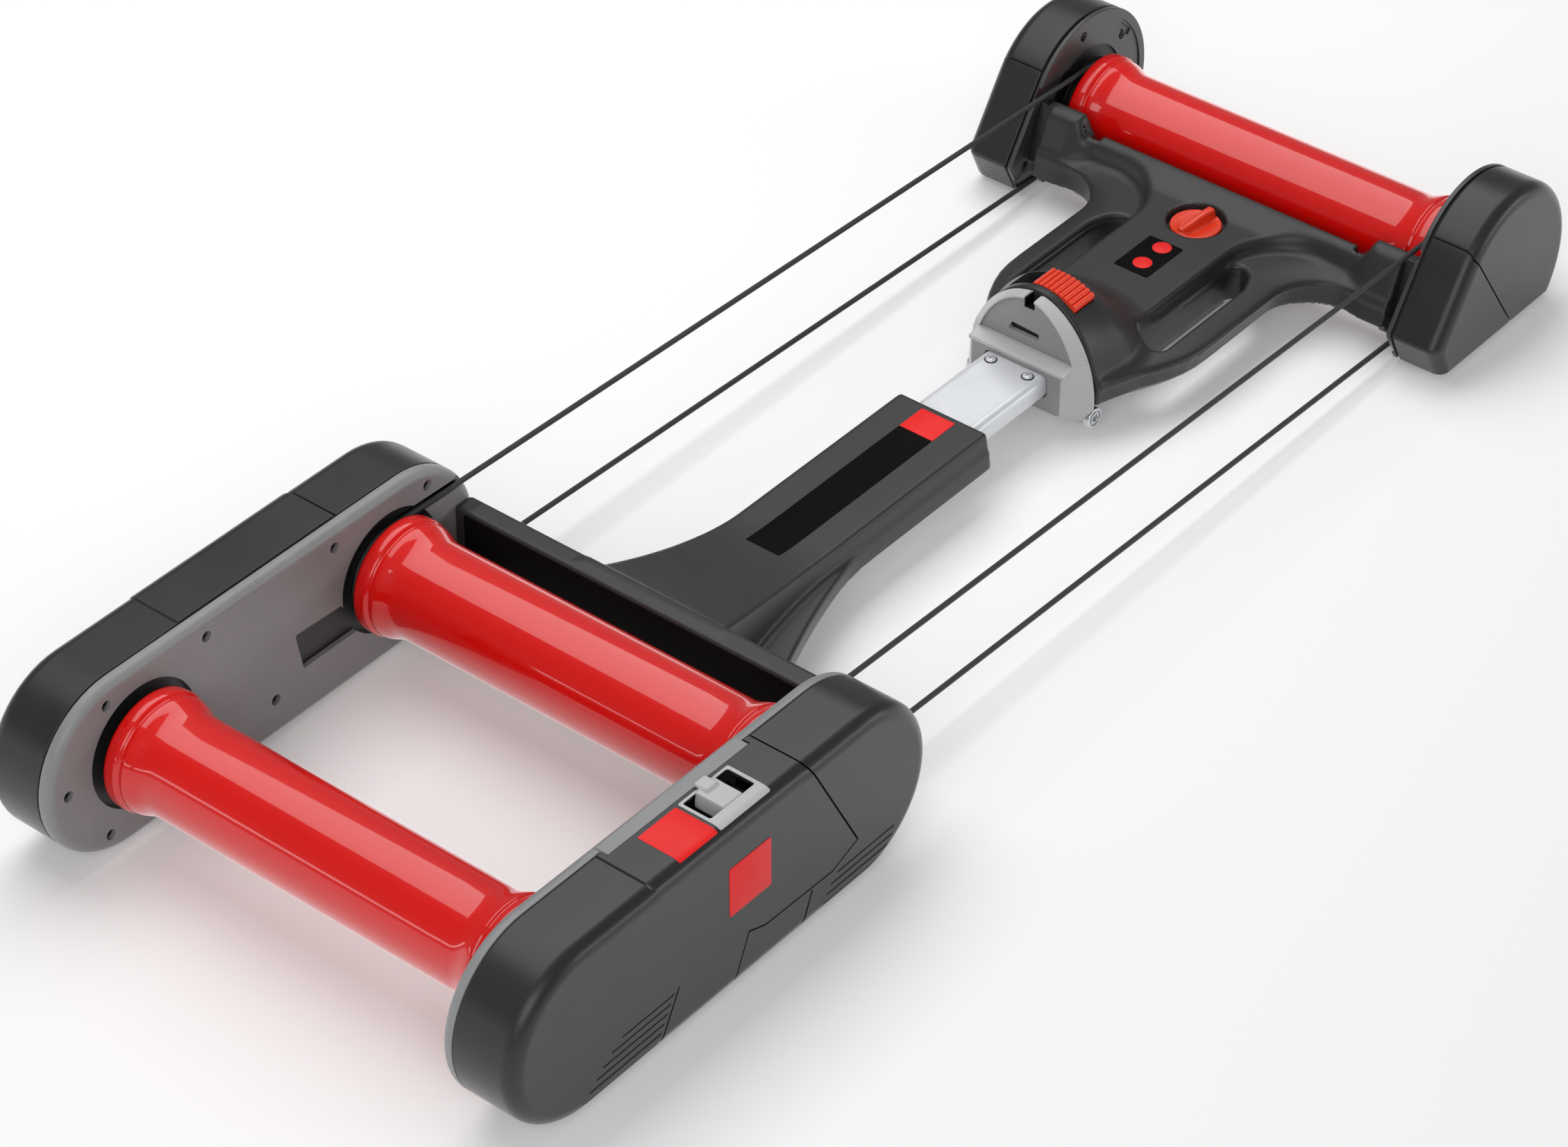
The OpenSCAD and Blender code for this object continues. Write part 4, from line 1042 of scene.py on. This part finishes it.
def tube_section(grow=0.0):
    """The tube's plain section in x and z."""
    half = TUBE_HALF + grow
    return rectangle(-half, TUBE_LOW - grow, half, TUBE_HIGH + grow, 6)


def tube_profile():
    """The tube's section with a fine line near each edge of its top."""
    outline = tube_section()
    line = [(23.4, 0), (23.2, 0.35), (22.7, 0.35), (22.5, 0)]
    marks = [(x, TUBE_HIGH - d) for x, d in line] + [(-x, TUBE_HIGH - d) for x, d in reversed(line)]
    after = max(i for i, (u, v) in enumerate(outline) if u > 0 and v > TUBE_HIGH - 3)
    return outline[:after + 1] + marks + outline[after + 1:]


class ROLLERS_OT_hinge(Step, bpy.types.Operator):
    """Build the slide tube and the arched hinge block"""

    bl_idname = "rollers.hinge"
    bl_label = "Slide tube and hinge"

    def build(self):
        tube = slab("slide_tube_shell", tube_profile(), TUBE_START, TUBE_END, "y")
        dress(tube, "anodised", "slider", "slide_tube", angle=30)
        self.block()
        self.fittings()
        for side in SIDES:
            self.pin_head(side)

    def block(self):
        """The arch with its ears, feet, ledge and cheeks, and the cuts in its front."""
        rings = []
        for y, half, sink in ((785, 52, 1.6), (785.3, 52.7, 0.8), (786.1, 53.4, 0.2),
                              (791.5, 58.6, 0), (794.6, 61, 0), (795.4, 60.9, 0.2),
                              (795.9, 60.2, 0.9), (796.1, 59.4, 1.7), (HINGE_BACK, 59.4, 1.7)):
            rings.append([(x, y, z) for x, z in arch_line(half, ARCH_TOP - sink, ARCH_FOOT)])
        block = loft("hinge_block_shell", rings)
        ledge = corners((787, LEDGE_FOOT, 0), (787, 66.8, 0), (783.5, 66.8, 3),
                        (SOCKET_FRONT, 64.6, 1.5), (SOCKET_FRONT, LEDGE_FOOT, 0), steps=4)
        foot = rectangle(790.2, PIN[1], HINGE_BACK, 42)
        ears = [(s * EAR_X - EAR_HALF, s * EAR_X + EAR_HALF) for s in SIDES]
        carve(block, *[slab("ear", circle(*PIN, 8, 36), *ear, "x", 0.6, 0.6, 2) for ear in ears],
              *[slab("foot", foot, *ear) for ear in ears],
              slab("ledge", ledge, -LEDGE_HALF, LEDGE_HALF, "x", 0.4, 0.4, 2),
              *[self.cheek(s) for s in SIDES], operation="UNION")
        slot = corners((-19, 76, 1.5), (12, 76, 1.5), (12, 83, 1.5), (-15, 84.5, 1.5))
        carve(block, slab("panel", arch_line(51.2, 111.4, 67.4), 780, 787.2, "y"),
              slab("slot", slot, 780, 793, "y"), self.notch(),
              slab("knuckle", circle(*PIN, 8.4, 36), -45.9, 45.9),
              *[slab("seat", circle(*PIN, 9.6, 48), *across(s, 56.4, 66)) for s in SIDES])
        dress(block, "hinge_plastic", "slider", "hinge_block", bevel=1.0, segments=3)

    def notch(self):
        """A tool for the notch at the top of the arch."""
        return slab("notch", rectangle(-3.5, 103, 6.5, 118), 780, 800, "y")

    def cheek(self, side):
        """The slanting side below the ledge, from the socket's front out to the arch."""
        rings = []
        for z, front in ((21, 774), (22, 773.2), (58, 773.2), (LEDGE_FOOT, 773.9), (64.5, 777),
                         (66.5, 782), (68.5, 787)):
            out = arch_half(60.6, ARCH_TOP, z)
            ring = [(side * 42, 793.4, z), (side * 42, front + 0.3, z), (side * 44, front, z),
                    (side * 45.2, front + 0.9, z), (side * out, 792.6, z), (side * out, 793.4, z)]
            rings.append(ring[::side])
        return loft("cheek", rings)

    def fittings(self):
        """The panel in the arch, black pieces of painted shade in its slot and notch, and the
        tube's socket.
        """
        panel = slab("hinge_panel", arch_line(50.9, 111, 67.8), 786.5, 787.8, "y", low=0.4, steps=2)
        slot = corners((-18.5, 76.5, 1.5), (11.5, 76.5, 1.5), (11.5, 82.5, 1.5), (-14.8, 84, 1.5))
        carve(panel, slab("slot", slot, 780, 793, "y"), self.notch())
        dress(panel, "hinge_panel", "slider")
        # A black back in the hinge's slot: painted shade, for the dark inside of the slot
        plain("hinge_slot_back", rectangle(-21, 74, 14, 86, 1), 790.5, 793.5, "y",
              "inner_plastic", "slider", "inner_black")
        # A black lining on the walls of the notch at the top of the arch: painted shade, for the
        # dark inside of the notch
        liner = [(-3.6, 102.9), (6.6, 102.9), (6.6, 110.4), (5.7, 110.4), (5.7, 104),
                 (-2.7, 104), (-2.7, 111.4), (-3.6, 111.4)]
        plain("hinge_notch_liner", liner, 787, 797.6, "y", "badge_black", "slider", "inner_black")
        face = corners((-SOCKET_HALF, 24, 5), (SOCKET_HALF, 24, 5), (SOCKET_HALF, 62.4, 1),
                       (-SOCKET_HALF, 62.4, 1))
        socket = slab("hinge_socket", face, SOCKET_FRONT, 786, "y", low=1.4, steps=4)
        carve(socket, slab("mouth", tube_section(0.9), 770, 777, "y"))
        dress(socket, "hinge_panel", "slider", bevel=0.5)

    def pin_head(self, side):
        """One head of the hinge pin, with a ring groove and a hexagon socket."""
        head = slab("pin_head_" + SIDES[side], circle(*PIN, 8.8, 48), *across(side, 55, 60.8),
                    low=0.9, high=0.9, steps=4)
        hexagon = slab("hexagon", circle(*PIN, 3.6, 6), *across(side, 58.6, 64))
        ring = lathe("ring", [(64, 5.2), (64, 6.8), (59.6, 6.8), (59.6, 5.2)], PIN, steps=48)
        carve(head, hexagon, sided(ring, side, "ring"))
        dress(head, "turned_steel", "slider", bevel=0.15)


# Front covers and plates

FRONT_PLATE_IN, FRONT_PLATE_OUT, FRONT_OUT = 187.2, 193.2, 236.2
FRONT_EDGE = 11.5

# From inside the front plate to outside the front cover, for tools that cut right through
FRONT_REACH = (180, 250)

# The cover's region behind the slanting seam, and the screws of the plate
GUARD_REGION = [(991, -10), (1140.3, -10), (1063.3, 101), (1063.3, 140), (991, 140)]
FRONT_SCREWS = [(1171.3, 93), (1115.3, 117.3), (1171.3, 22), (1037.3, 28)]


def front_outline(d):
    """The front cover's outline in y and z, drawn in by d."""
    low, big = 6 + 0.3 * d, 82 - d
    first = -math.degrees(math.asin((FRONT_Z - low) / big))
    heel, toe = inset([(1190, 6), (1055.7, 96.7), (1015.3, 35.9), (1030.5, 6)], d)[2:]
    return corners(*[(u, v, 0) for u, v in arc(1124, FRONT_Z, big, first, 146.4, 48)],
                   (*heel, 5), (toe[0], low, 1.5), steps=4)


class ROLLERS_OT_front_sides(Step, bpy.types.Operator):
    """Shape the front unit's covers, guards and inner plates"""

    bl_idname = "rollers.front_sides"
    bl_label = "Front side covers"

    def build(self):
        for side in SIDES:
            self.covers(side)
            self.plate(side)

    def covers(self, side):
        """The cover and its guard, which part along the slanting seam."""
        rings = [(FRONT_PLATE_OUT + t, d)
                 for t, d in ((0.2, 1.3), (0.5, 0.7), (1.1, 0.15), (1.8, 0))]
        for k in range(10):
            bend = math.radians(10 * k)
            rings.append((FRONT_OUT - FRONT_EDGE * (1 - math.sin(bend)),
                          FRONT_EDGE * (1 - math.cos(bend))))
        shell = loft("shell", [[(x, u, v) for u, v in front_outline(d)] for x, d in rings])
        part_cover(shell, GUARD_REGION, 1.3, FRONT_REACH, side, "front_unit",
                   ("_front_cover", "_front_guard"))

    def plate(self, side):
        """The inner plate, the dark liner behind it and the web of the arm."""
        near = FRONT_REACH[0]
        plate = slab("plate", front_outline(0), FRONT_PLATE_IN, FRONT_PLATE_OUT - 1.9, low=1.2,
                     high=0.5, steps=4)
        tools = [slab("pocket", front_outline(8), near, FRONT_PLATE_IN + 1.3),
                 slab("opening", circle(FRONT_Y, FRONT_Z, OPENING_R, 72), near, 200)]
        tools += [slab("channel", belt_channel(FRONT_Y, FRONT_Z + s * PULLEY_R, -130, 0, 4.6),
                       near, FRONT_PLATE_IN + 3) for s in SIDES]
        tools += [slab("hole", circle(y, z, SCREW_HOLE_R, 24), near, FRONT_PLATE_IN + 3.2)
                  for y, z in FRONT_SCREWS]
        notch = corners((1166, 101, 1), (1180, 88, 1), (1184, 93, 1), (1170, 106, 1))
        carve(plate, *tools, slab("notch", notch, near, FRONT_PLATE_IN + 3))
        word = SIDES[side]
        node = word + "_front_plate"
        dress(sided(plate, side, node + "_shell"), "plate_dark", "front_unit", node,
              bevel=0.5)
        plain(word + "_front_liner", front_outline(2.6), FRONT_PLATE_IN + 3.6,
              FRONT_PLATE_OUT + 0.3, "x", "inner_plastic", "front_unit", "inner_black", side)
        web = corners((1040, 32, 2), (1056, 32, 2), (1066, 83, 2), (1055, 83, 2))
        plain(word + "_arm_web", web, 175.6, 187.6, "x", "inner_plastic", "front_unit",
              "inner_black", side, low=0.8, steps=2)


# Hinge wheel and lock knob

def bar_ring():
    """Geometry nodes: a ring of bars round an axis that runs along Y."""
    ring = Pattern("bar_ring", Centre="Vector", Radius="Float", First="Float", Step="Float",
                   Count="Int", Thickness="Float", Length="Float", Material="Material")
    angle = ring.take("First") + ring.take("Step") * ring.node("GeometryNodeInputIndex", {}, {})
    spot = ring.node("ShaderNodeCombineXYZ", {}, {
        0: ring.take("Radius") * angle.math("COSINE", angle),
        2: ring.take("Radius") * angle.math("SINE", angle)})
    spot = ring.node("ShaderNodeVectorMath", {"operation": "ADD"},
                     {0: spot, 1: ring.take("Centre")})
    points = ring.node("GeometryNodePoints", {}, {"Count": ring.take("Count"), "Position": spot})
    bar = ring.node("GeometryNodeMeshCylinder", {}, {
        "Vertices": 16, "Radius": ring.take("Thickness"), "Depth": ring.take("Length")})
    lay = ring.node("FunctionNodeEulerToRotation", {}, {0: (math.pi / 2, 0, 0)})
    return ring.close(ring.node("GeometryNodeInstanceOnPoints", {}, {
        "Points": points, "Instance": bar, "Rotation": lay}))


class ROLLERS_OT_controls(Step, bpy.types.Operator):
    """Make the ribbed hinge wheel and the lock knob"""

    bl_idname = "rollers.controls"
    bl_label = "Hinge wheel and lock knob"

    def build(self):
        first, last = WHEEL_SPAN
        near, far = WHEEL_Y
        rim = (arc(0, WHEEL_Z, RIM_OUT, first, last, 24)
               + arc(0, WHEEL_Z, RIM_IN, last, first, 24))
        out = Vector((math.cos(SPOKE_LEAN), math.sin(SPOKE_LEAN)))
        right = Vector((math.sin(SPOKE_LEAN), -math.cos(SPOKE_LEAN)))
        spoke = [tuple(Vector((0, WHEEL_Z)) + out * u + right * v)
                 for v, u in rectangle(-SPOKE_HALF, 6, SPOKE_HALF, 54)[::-1]]
        step = 360 / sizes().rib_count
        count = int((last - first) / step)
        start = (first + last - step * (count - 1)) / 2
        ribs = grown("ribs", bar_ring(), Centre=place((0, (near + far) / 2, WHEEL_Z)),
                     Radius=(WHEEL_R - RIB_R) * MM, First=math.radians(start),
                     Step=math.radians(step), Count=count, Thickness=RIB_R * MM,
                     Length=(far - near - 0.6) * MM, Material=finish("orange_plastic"))
        wheel = gather("fold_latch_shell", [
            slab("rim", rim, near, far, "y", low=0.8, high=0.8, steps=3),
            slab("spoke", spoke, near + 1, far - 1, "y"),
            slab("hub", circle(0, WHEEL_Z, HUB_R, 48), near, far, "y", low=0.8, high=0.8, steps=2),
            ribs])
        dress(wheel, "orange_plastic", "fold_latch", "fold_latch", angle=40)
        knob = sculpt("lock_knob_shell", self.knob_field, (-22, KNOB_Y - 22, 55),
                      (22, KNOB_Y + 22, 72), 0.9)
        dress(knob, "orange_plastic", "lock_knob", "lock_knob", angle=50)

    @staticmethod
    def knob_field(x, y, z):
        """A low dished disc with a tapering grip bar across it."""
        along_y = y - KNOB_Y
        r = np.hypot(x, along_y)
        turn = math.radians(-8)
        u = x * math.cos(turn) + along_y * math.sin(turn)
        v = along_y * math.cos(turn) - x * math.sin(turn)
        dish = 61.4 - 2.4 * ease(np.abs(u), 17, 4) * ease(r, 21, 12)
        disc = trim(trim(r - KNOB_R, z - dish, 1.6), KNOB_SEAT_Z + 0.3 - z, 0.6)
        height = 65.4 + 3.2 * ease(v, -16, 14)
        half = 2.6 + 0.22 * (height - z) + 0.9 * ease(v, 0, 18)
        bar = trim(np.abs(u) - half, z - height, 1.8)
        bar = trim(bar, np.hypot(u * 0.6, v) - 19.3, 1.8)
        return melt(disc, np.maximum(bar, KNOB_SEAT_Z + 1 - z), 2.2)


# Drive belts

BELT_X = 181.8
BELT_R = 2.2
BELT_SPLIT = 770

# Each half's two bodies and where along y it would pass between them, by whether it is the front
# one; no half is tied to either body
BELT_BLEND = {False: ("rear_unit", "slider", 345, 700), True: ("slider", "front_unit", 776, 822)}


def belt_path(front):
    """The points of a belt's rear or front half in y and z, over the top and back below."""
    tilt = math.atan2(REAR_Z - FRONT_Z, FRONT_Y - MIDDLE_Y)
    ahead = Vector((math.cos(tilt), -math.sin(tilt)))
    up = Vector((math.sin(tilt), math.cos(tilt)))
    centre = Vector((FRONT_Y, FRONT_Z)) if front else Vector((MIDDLE_Y, REAR_Z))
    way = -1 if front else 1
    reach = abs((BELT_SPLIT - centre.x) / math.cos(tilt))
    marks = {reach * k / 12 for k in range(1, 13)}
    if front:
        # Close stops beside the hinge, where the belt would bend; nothing here bends it
        marks |= {reach - 4 * k for k in range(1, 18)}
    marks = sorted(marks, reverse=True)
    top = [centre + up * PULLEY_R + ahead * way * m for m in marks]
    turn = [centre + up * PULLEY_R * math.cos(a) - ahead * way * PULLEY_R * math.sin(a)
            for a in (math.pi * k / 28 for k in range(29))]
    low = [centre - up * PULLEY_R + ahead * way * m for m in reversed(marks)]
    return top + turn + low


def belt_half(side, front):
    """One half of a belt, a round cord along its path."""
    rings = []
    path = belt_path(front)
    for i, p in enumerate(path):
        way = (path[min(i + 1, len(path) - 1)] - path[max(i - 1, 0)]).normalized()
        out = Vector((-way.y, way.x))
        rings.append([(side * (BELT_X + BELT_R * math.cos(a)), p.x + out.x * BELT_R * math.sin(a),
                       p.y + out.y * BELT_R * math.sin(a))
                      for a in (math.pi * k / 7 for k in range(14))])
    name = SIDES[side] + "_belt"
    piece = loft(name + ("_front" if front else "_rear"), rings)
    dress(piece, "belt_rubber", nodes=name, angle=60)
    near, far, start, end = BELT_BLEND[front]
    place((0, start, 60))
    place((0, end, 60))
    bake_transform(piece)


class ROLLERS_OT_belts(Step, bpy.types.Operator):
    """Run both drive belts, each in two halves that part beside the hinge"""

    bl_idname = "rollers.belts"
    bl_label = "Drive belts"

    def build(self):
        for side in SIDES:
            for front in (False, True):
                belt_half(side, front)


# Resistance lever

LEVER_X, LEVER_Y = 217.2, 150
LEVER_LOW = 140
SADDLE_Z = 150.3


def top_skin(x, lift):
    """Height of the saddle's top skin at x, raised by lift."""
    over = max(x - (COVER_OUT - COVER_EDGE), 0)
    return SADDLE_Z + lift - COVER_EDGE + math.sqrt(max(COVER_EDGE ** 2 - over ** 2, 0))


def top_plate(name, x0, x1, y0, y1, lift):
    """A thin plate on the saddle that bends down over the cover's edge."""
    rings = []
    for x, d in plate_stops(x0, x1, 3, 14):
        high = top_skin(x, lift)
        low = high - 0.8
        rings.append([(x, y0 + d, low), (x, y1 - d, low), (x, y1 - d, high - 0.12),
                      (x, y1 - d - 0.2, high), (x, y0 + d + 0.2, high), (x, y0 + d, high - 0.12)])
    return loft(name, rings)


class ROLLERS_OT_lever(Step, bpy.types.Operator):
    """Make the resistance lever, its bezel and the bare badges"""

    bl_idname = "rollers.lever"
    bl_label = "Resistance lever"

    def build(self):
        bezel = top_plate("lever_panel_shell", 203, 240.5, 124, 176.5, 0.7)
        carve(bezel, slab("opening", rectangle(205, 126.5, 229.5, 173.5, 2), 140, 160, "z"))
        dress(bezel, "lever_plastic", "rear_unit", "lever_panel", bevel=0.25)
        plain("lever_gate", rectangle(203.5, 125, 231, 175, 1), 136, 138, "z", "inner_plastic",
              "rear_unit", "inner_black")
        lever = sculpt("resistance_lever_shell", self.lever_field, (199, LEVER_Y - 16, 139),
                       (230, LEVER_Y + 16, 158), 0.8)
        dress(lever, "lever_plastic", "resistance", "resistance_lever", angle=50)
        dress(top_plate("top_badge", 203.5, 240.5, 82, 121.5, 0.3), "badge_red", "rear_unit")
        plain("side_badge", rectangle(126, 72, 170, 115, 1.5), COVER_OUT - 0.3, COVER_OUT + 0.35,
              "x", "badge_red", "rear_unit", "control_orange", high=0.15, steps=2)

    @staticmethod
    def lever_field(x, y, z):
        """A slider with hollow flanks, and a finger tab over its inner end."""
        v = np.abs(y - LEVER_Y)
        top = 151.9 - 9.5 * ease(v, 9.6, 11.2) + 0.5 * ease(x, 214, 206)
        slider = trim(trim(np.abs(x - LEVER_X) - 12.2, v - 11.4, 1.2), z - top, 1.2)
        tab = brick((x, y, z), (199.8, LEVER_Y - 6, 151.2), (212, LEVER_Y + 6, 155), 1.6)
        return melt(np.maximum(slider, LEVER_LOW - z), tab, 2)


# Screws

SCREW_HEAD_R, PAN_HEAD_R, SHANK_R = 3.8, 4.4, 1.9
TUBE_SCREW = (18, 764.5, 60)


def heads_on_points():
    """Geometry nodes: a screw on each point, turned about where it lies left of the middle."""
    heads = Pattern("screws", Head="Object", Turn="Float", Material="Material")
    head = heads.node("GeometryNodeObjectInfo", {"transform_space": "ORIGINAL"},
                      {"Object": heads.take("Head")}, "Geometry")
    spot = heads.node("GeometryNodeInputPosition", {}, {})
    spot_x = heads.node("ShaderNodeSeparateXYZ", {}, {0: spot})
    left = spot_x.math("LESS_THAN", spot_x, 0.0)
    spin = heads.node("ShaderNodeCombineXYZ", {}, {2: left * heads.take("Turn")})
    spin = heads.node("FunctionNodeEulerToRotation", {}, {0: spin})
    return heads.close(heads.node("GeometryNodeInstanceOnPoints", {}, {
        "Points": heads.take("Geometry"), "Instance": head, "Rotation": spin}))


def cross_head(radius, upright=False):
    """A pan head with a cross recess and a short shank, looking along -x or upright."""
    k = radius / SCREW_HEAD_R
    profile = [(0, 0.01), (0, 1.2 * k), (0.25 * k, 2.6 * k), (0.9 * k, 3.5 * k),
               (1.6 * k, 3.8 * k), (2.6 * k, 3.8 * k), (2.6 * k, SHANK_R), (9, SHANK_R), (9, 0.01)]
    head = lathe("head", profile, (MID_Y, 0), "x", 24)
    carve(head, *[slab("cut", rectangle(MID_Y - u, -v, MID_Y + u, v), -1, 1.3 * k)
                  for u, v in ((2.3 * k, 0.5 * k), (0.5 * k, 2.3 * k))])
    if upright:
        for vertex in head.data.vertices:
            x, y, z = vertex.co
            vertex.co = (z, y, -x)
    return head


class ROLLERS_OT_screws(Step, bpy.types.Operator):
    """Set the screws of the plates and the tube"""

    bl_idname = "rollers.screws"
    bl_label = "Screws"

    def build(self):
        pattern = heads_on_points()
        sunk = cross_head(sizes().screw_head / MM)
        pan = cross_head(PAN_HEAD_R, upright=True)
        for node, body, x, spots, head, kind, slot in (
                ("cover_screws", "rear_unit", 184.9, SIDE_SCREWS, sunk, "dark_steel", "dark_steel"),
                ("front_screws", "front_unit", 187.9, FRONT_SCREWS, sunk, "dark_steel",
                 "dark_steel"),
                ("tube_screws", "slider", TUBE_SCREW[0], [TUBE_SCREW[1:]], pan, "anodised",
                 "steel")):
            screws = grown(node + "_set", pattern, [(s * x, y, z) for s in SIDES for y, z in spots],
                           Head=head, Turn=math.pi, Material=finish(kind))
            dress(screws, kind, body, node, angle=40)
        ring = [(57.6, 4.2), (57.6, 5.2), (58.0, 5.3), (58.3, 5.1), (58.3, 4.2)]
        for side, word in SIDES.items():
            centre = (side * TUBE_SCREW[0], TUBE_SCREW[1])
            washer = lathe("tube_washer_" + word, ring, centre, "z", 32)
            dress(washer, "rubber", "slider")
        drop(sunk, pan)


# Stage

# Each lamp's name, place and target in millimetres, width and height in metres, and power
LAMPS = (
    ("overhead", (-950, 1150, 2300), (-950, 1150, 0), 1.7, 3.7, 62),
    ("low_strip", (-1700, -2600, 420), (0, 0, 60), 4.2, 0.2, 11),
    ("strip_right", (2500, 2300, 620), (100, 500, 60), 2.4, 0.5, 24),
    ("front_fill", (1500, -2000, 1900), (0, 400, 50), 2.2, 1.8, 46),
)
SKY_LIGHT = 0.24
FLOOR_HALF, FLOOR_Z = 9000, -0.5
WHITE, BLACK, PALE = (1, 1, 1, 1), (0, 0, 0, 1), (0.74, 0.74, 0.74, 1)
CAMERA_AT = (1766.25, -1680.85, 2239.3)
CAMERA_AZIMUTH, CAMERA_ELEVATION = math.radians(39.19), math.radians(38.4)
CAMERA_LENS = 108.94


def aim(made, at, back):
    """Puts an object at a point in millimetres, looking away from back."""
    made.location = place(at)
    made.rotation_mode = "QUATERNION"
    made.rotation_quaternion = (-back).to_track_quat("-Z", "Y")


class ROLLERS_OT_stage(Step, bpy.types.Operator):
    """Lay the pale floor, hang the soft lamps and set up the camera"""

    bl_idname = "rollers.stage"
    bl_label = "Stage"

    def build(self):
        self.floor()
        self.sky()
        for name, at, target, width, height, power in LAMPS:
            light = bpy.data.lights.new(name, "AREA")
            light.shape, light.energy = "RECTANGLE", power
            light.size, light.size_y = width, height
            aim(add(name, light), at, place(at) - place(target))
        self.camera()

    def floor(self):
        """A pale floor, which the camera sees turn white with distance."""
        ring = [(u, v, FLOOR_Z) for u, v in rectangle(-FLOOR_HALF, -FLOOR_HALF, FLOOR_HALF,
                                                      FLOOR_HALF)]
        floor = solid("floor", ring, [(0, 1, 2, 3)])
        pale = Finish("floor_pale", Base_Color=PALE, Roughness=0.6,
                      Specular_IOR_Level=0.2, Emission_Strength=1)
        reach = pale.node("ShaderNodeVectorMath", {"operation": "LENGTH"},
                          {"Vector": pale.where()}, "Value")
        far = pale.spread(reach, 1.2, 3.2)
        glow = pale.ray("Is Camera Ray") * (far * 0.82 + 0.18) + pale.ray("Is Glossy Ray") * 0.6
        pale.feed("Emission Color", pale.mix(glow, BLACK, WHITE))
        floor.data.materials.append(pale.material)

    def sky(self):
        """A white sky that lights the rollers less than the camera sees it."""
        world = bpy.data.worlds.new("studio")
        bpy.context.scene.world = world
        world.use_nodes = True
        sky = Nodes(world.node_tree)
        seen = sky.node("ShaderNodeLightPath", {}, {}, "Is Camera Ray")
        level = sky.node("ShaderNodeMapRange", {}, {
            "Value": seen, "To Min": SKY_LIGHT, "To Max": 1})
        back = sky.tree.nodes["Background"]
        back.inputs["Color"].default_value = WHITE
        sky.tree.links.new(level.socket, back.inputs["Strength"])

    def camera(self):
        """The camera that the photograph was taken with, as fitted."""
        lens = bpy.data.cameras.new("camera")
        lens.sensor_width, lens.lens = 36, CAMERA_LENS
        lens.clip_start, lens.clip_end = 0.05, 60
        camera = add("camera", lens)
        flat = math.cos(CAMERA_ELEVATION)
        aim(camera, CAMERA_AT, Vector((math.sin(CAMERA_AZIMUTH) * flat,
                                       -math.cos(CAMERA_AZIMUTH) * flat,
                                       math.sin(CAMERA_ELEVATION))))
        bpy.context.scene.camera = camera
        bpy.context.scene.view_settings.view_transform = "Standard"


class ROLLERS_PT_panel(bpy.types.Panel):
    """The steps that build the rollers, with their sizes and colours"""

    bl_label = "Bike rollers"
    bl_space_type = "VIEW_3D"
    bl_region_type = "UI"
    bl_category = "Rollers"

    def draw(self, context):
        for step in STEPS:
            self.layout.operator(step.bl_idname)
        for group in (context.scene.rollers_sizes, context.scene.rollers_colours):
            box = self.layout.box()
            for key in group.bl_rna.properties.keys():
                if key not in ("rna_type", "name"):
                    box.prop(group, key)


STEPS = (ROLLERS_OT_finishes, ROLLERS_OT_drums, ROLLERS_OT_rear_sides, ROLLERS_OT_rear_frame,
         ROLLERS_OT_lever, ROLLERS_OT_hinge, ROLLERS_OT_front_frame, ROLLERS_OT_front_sides,
         ROLLERS_OT_controls, ROLLERS_OT_belts, ROLLERS_OT_screws, ROLLERS_OT_stage)
CLASSES = (RollersColours, RollersSizes, *STEPS, ROLLERS_PT_panel)


def register():
    """Makes the add-on's classes and settings known."""
    for kind in CLASSES:
        bpy.utils.register_class(kind)
    bpy.types.Scene.rollers_colours = bpy.props.PointerProperty(type=RollersColours)
    bpy.types.Scene.rollers_sizes = bpy.props.PointerProperty(type=RollersSizes)


def unregister():
    """Takes the add-on's classes and settings away."""
    del bpy.types.Scene.rollers_colours
    del bpy.types.Scene.rollers_sizes
    for kind in reversed(CLASSES):
        bpy.utils.unregister_class(kind)


def main():
    """Registers the add-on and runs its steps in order."""
    register()
    for step in STEPS:
        group, action = step.bl_idname.split(".")
        getattr(getattr(bpy.ops, group), action)()


if __name__ == "__main__":
    main()
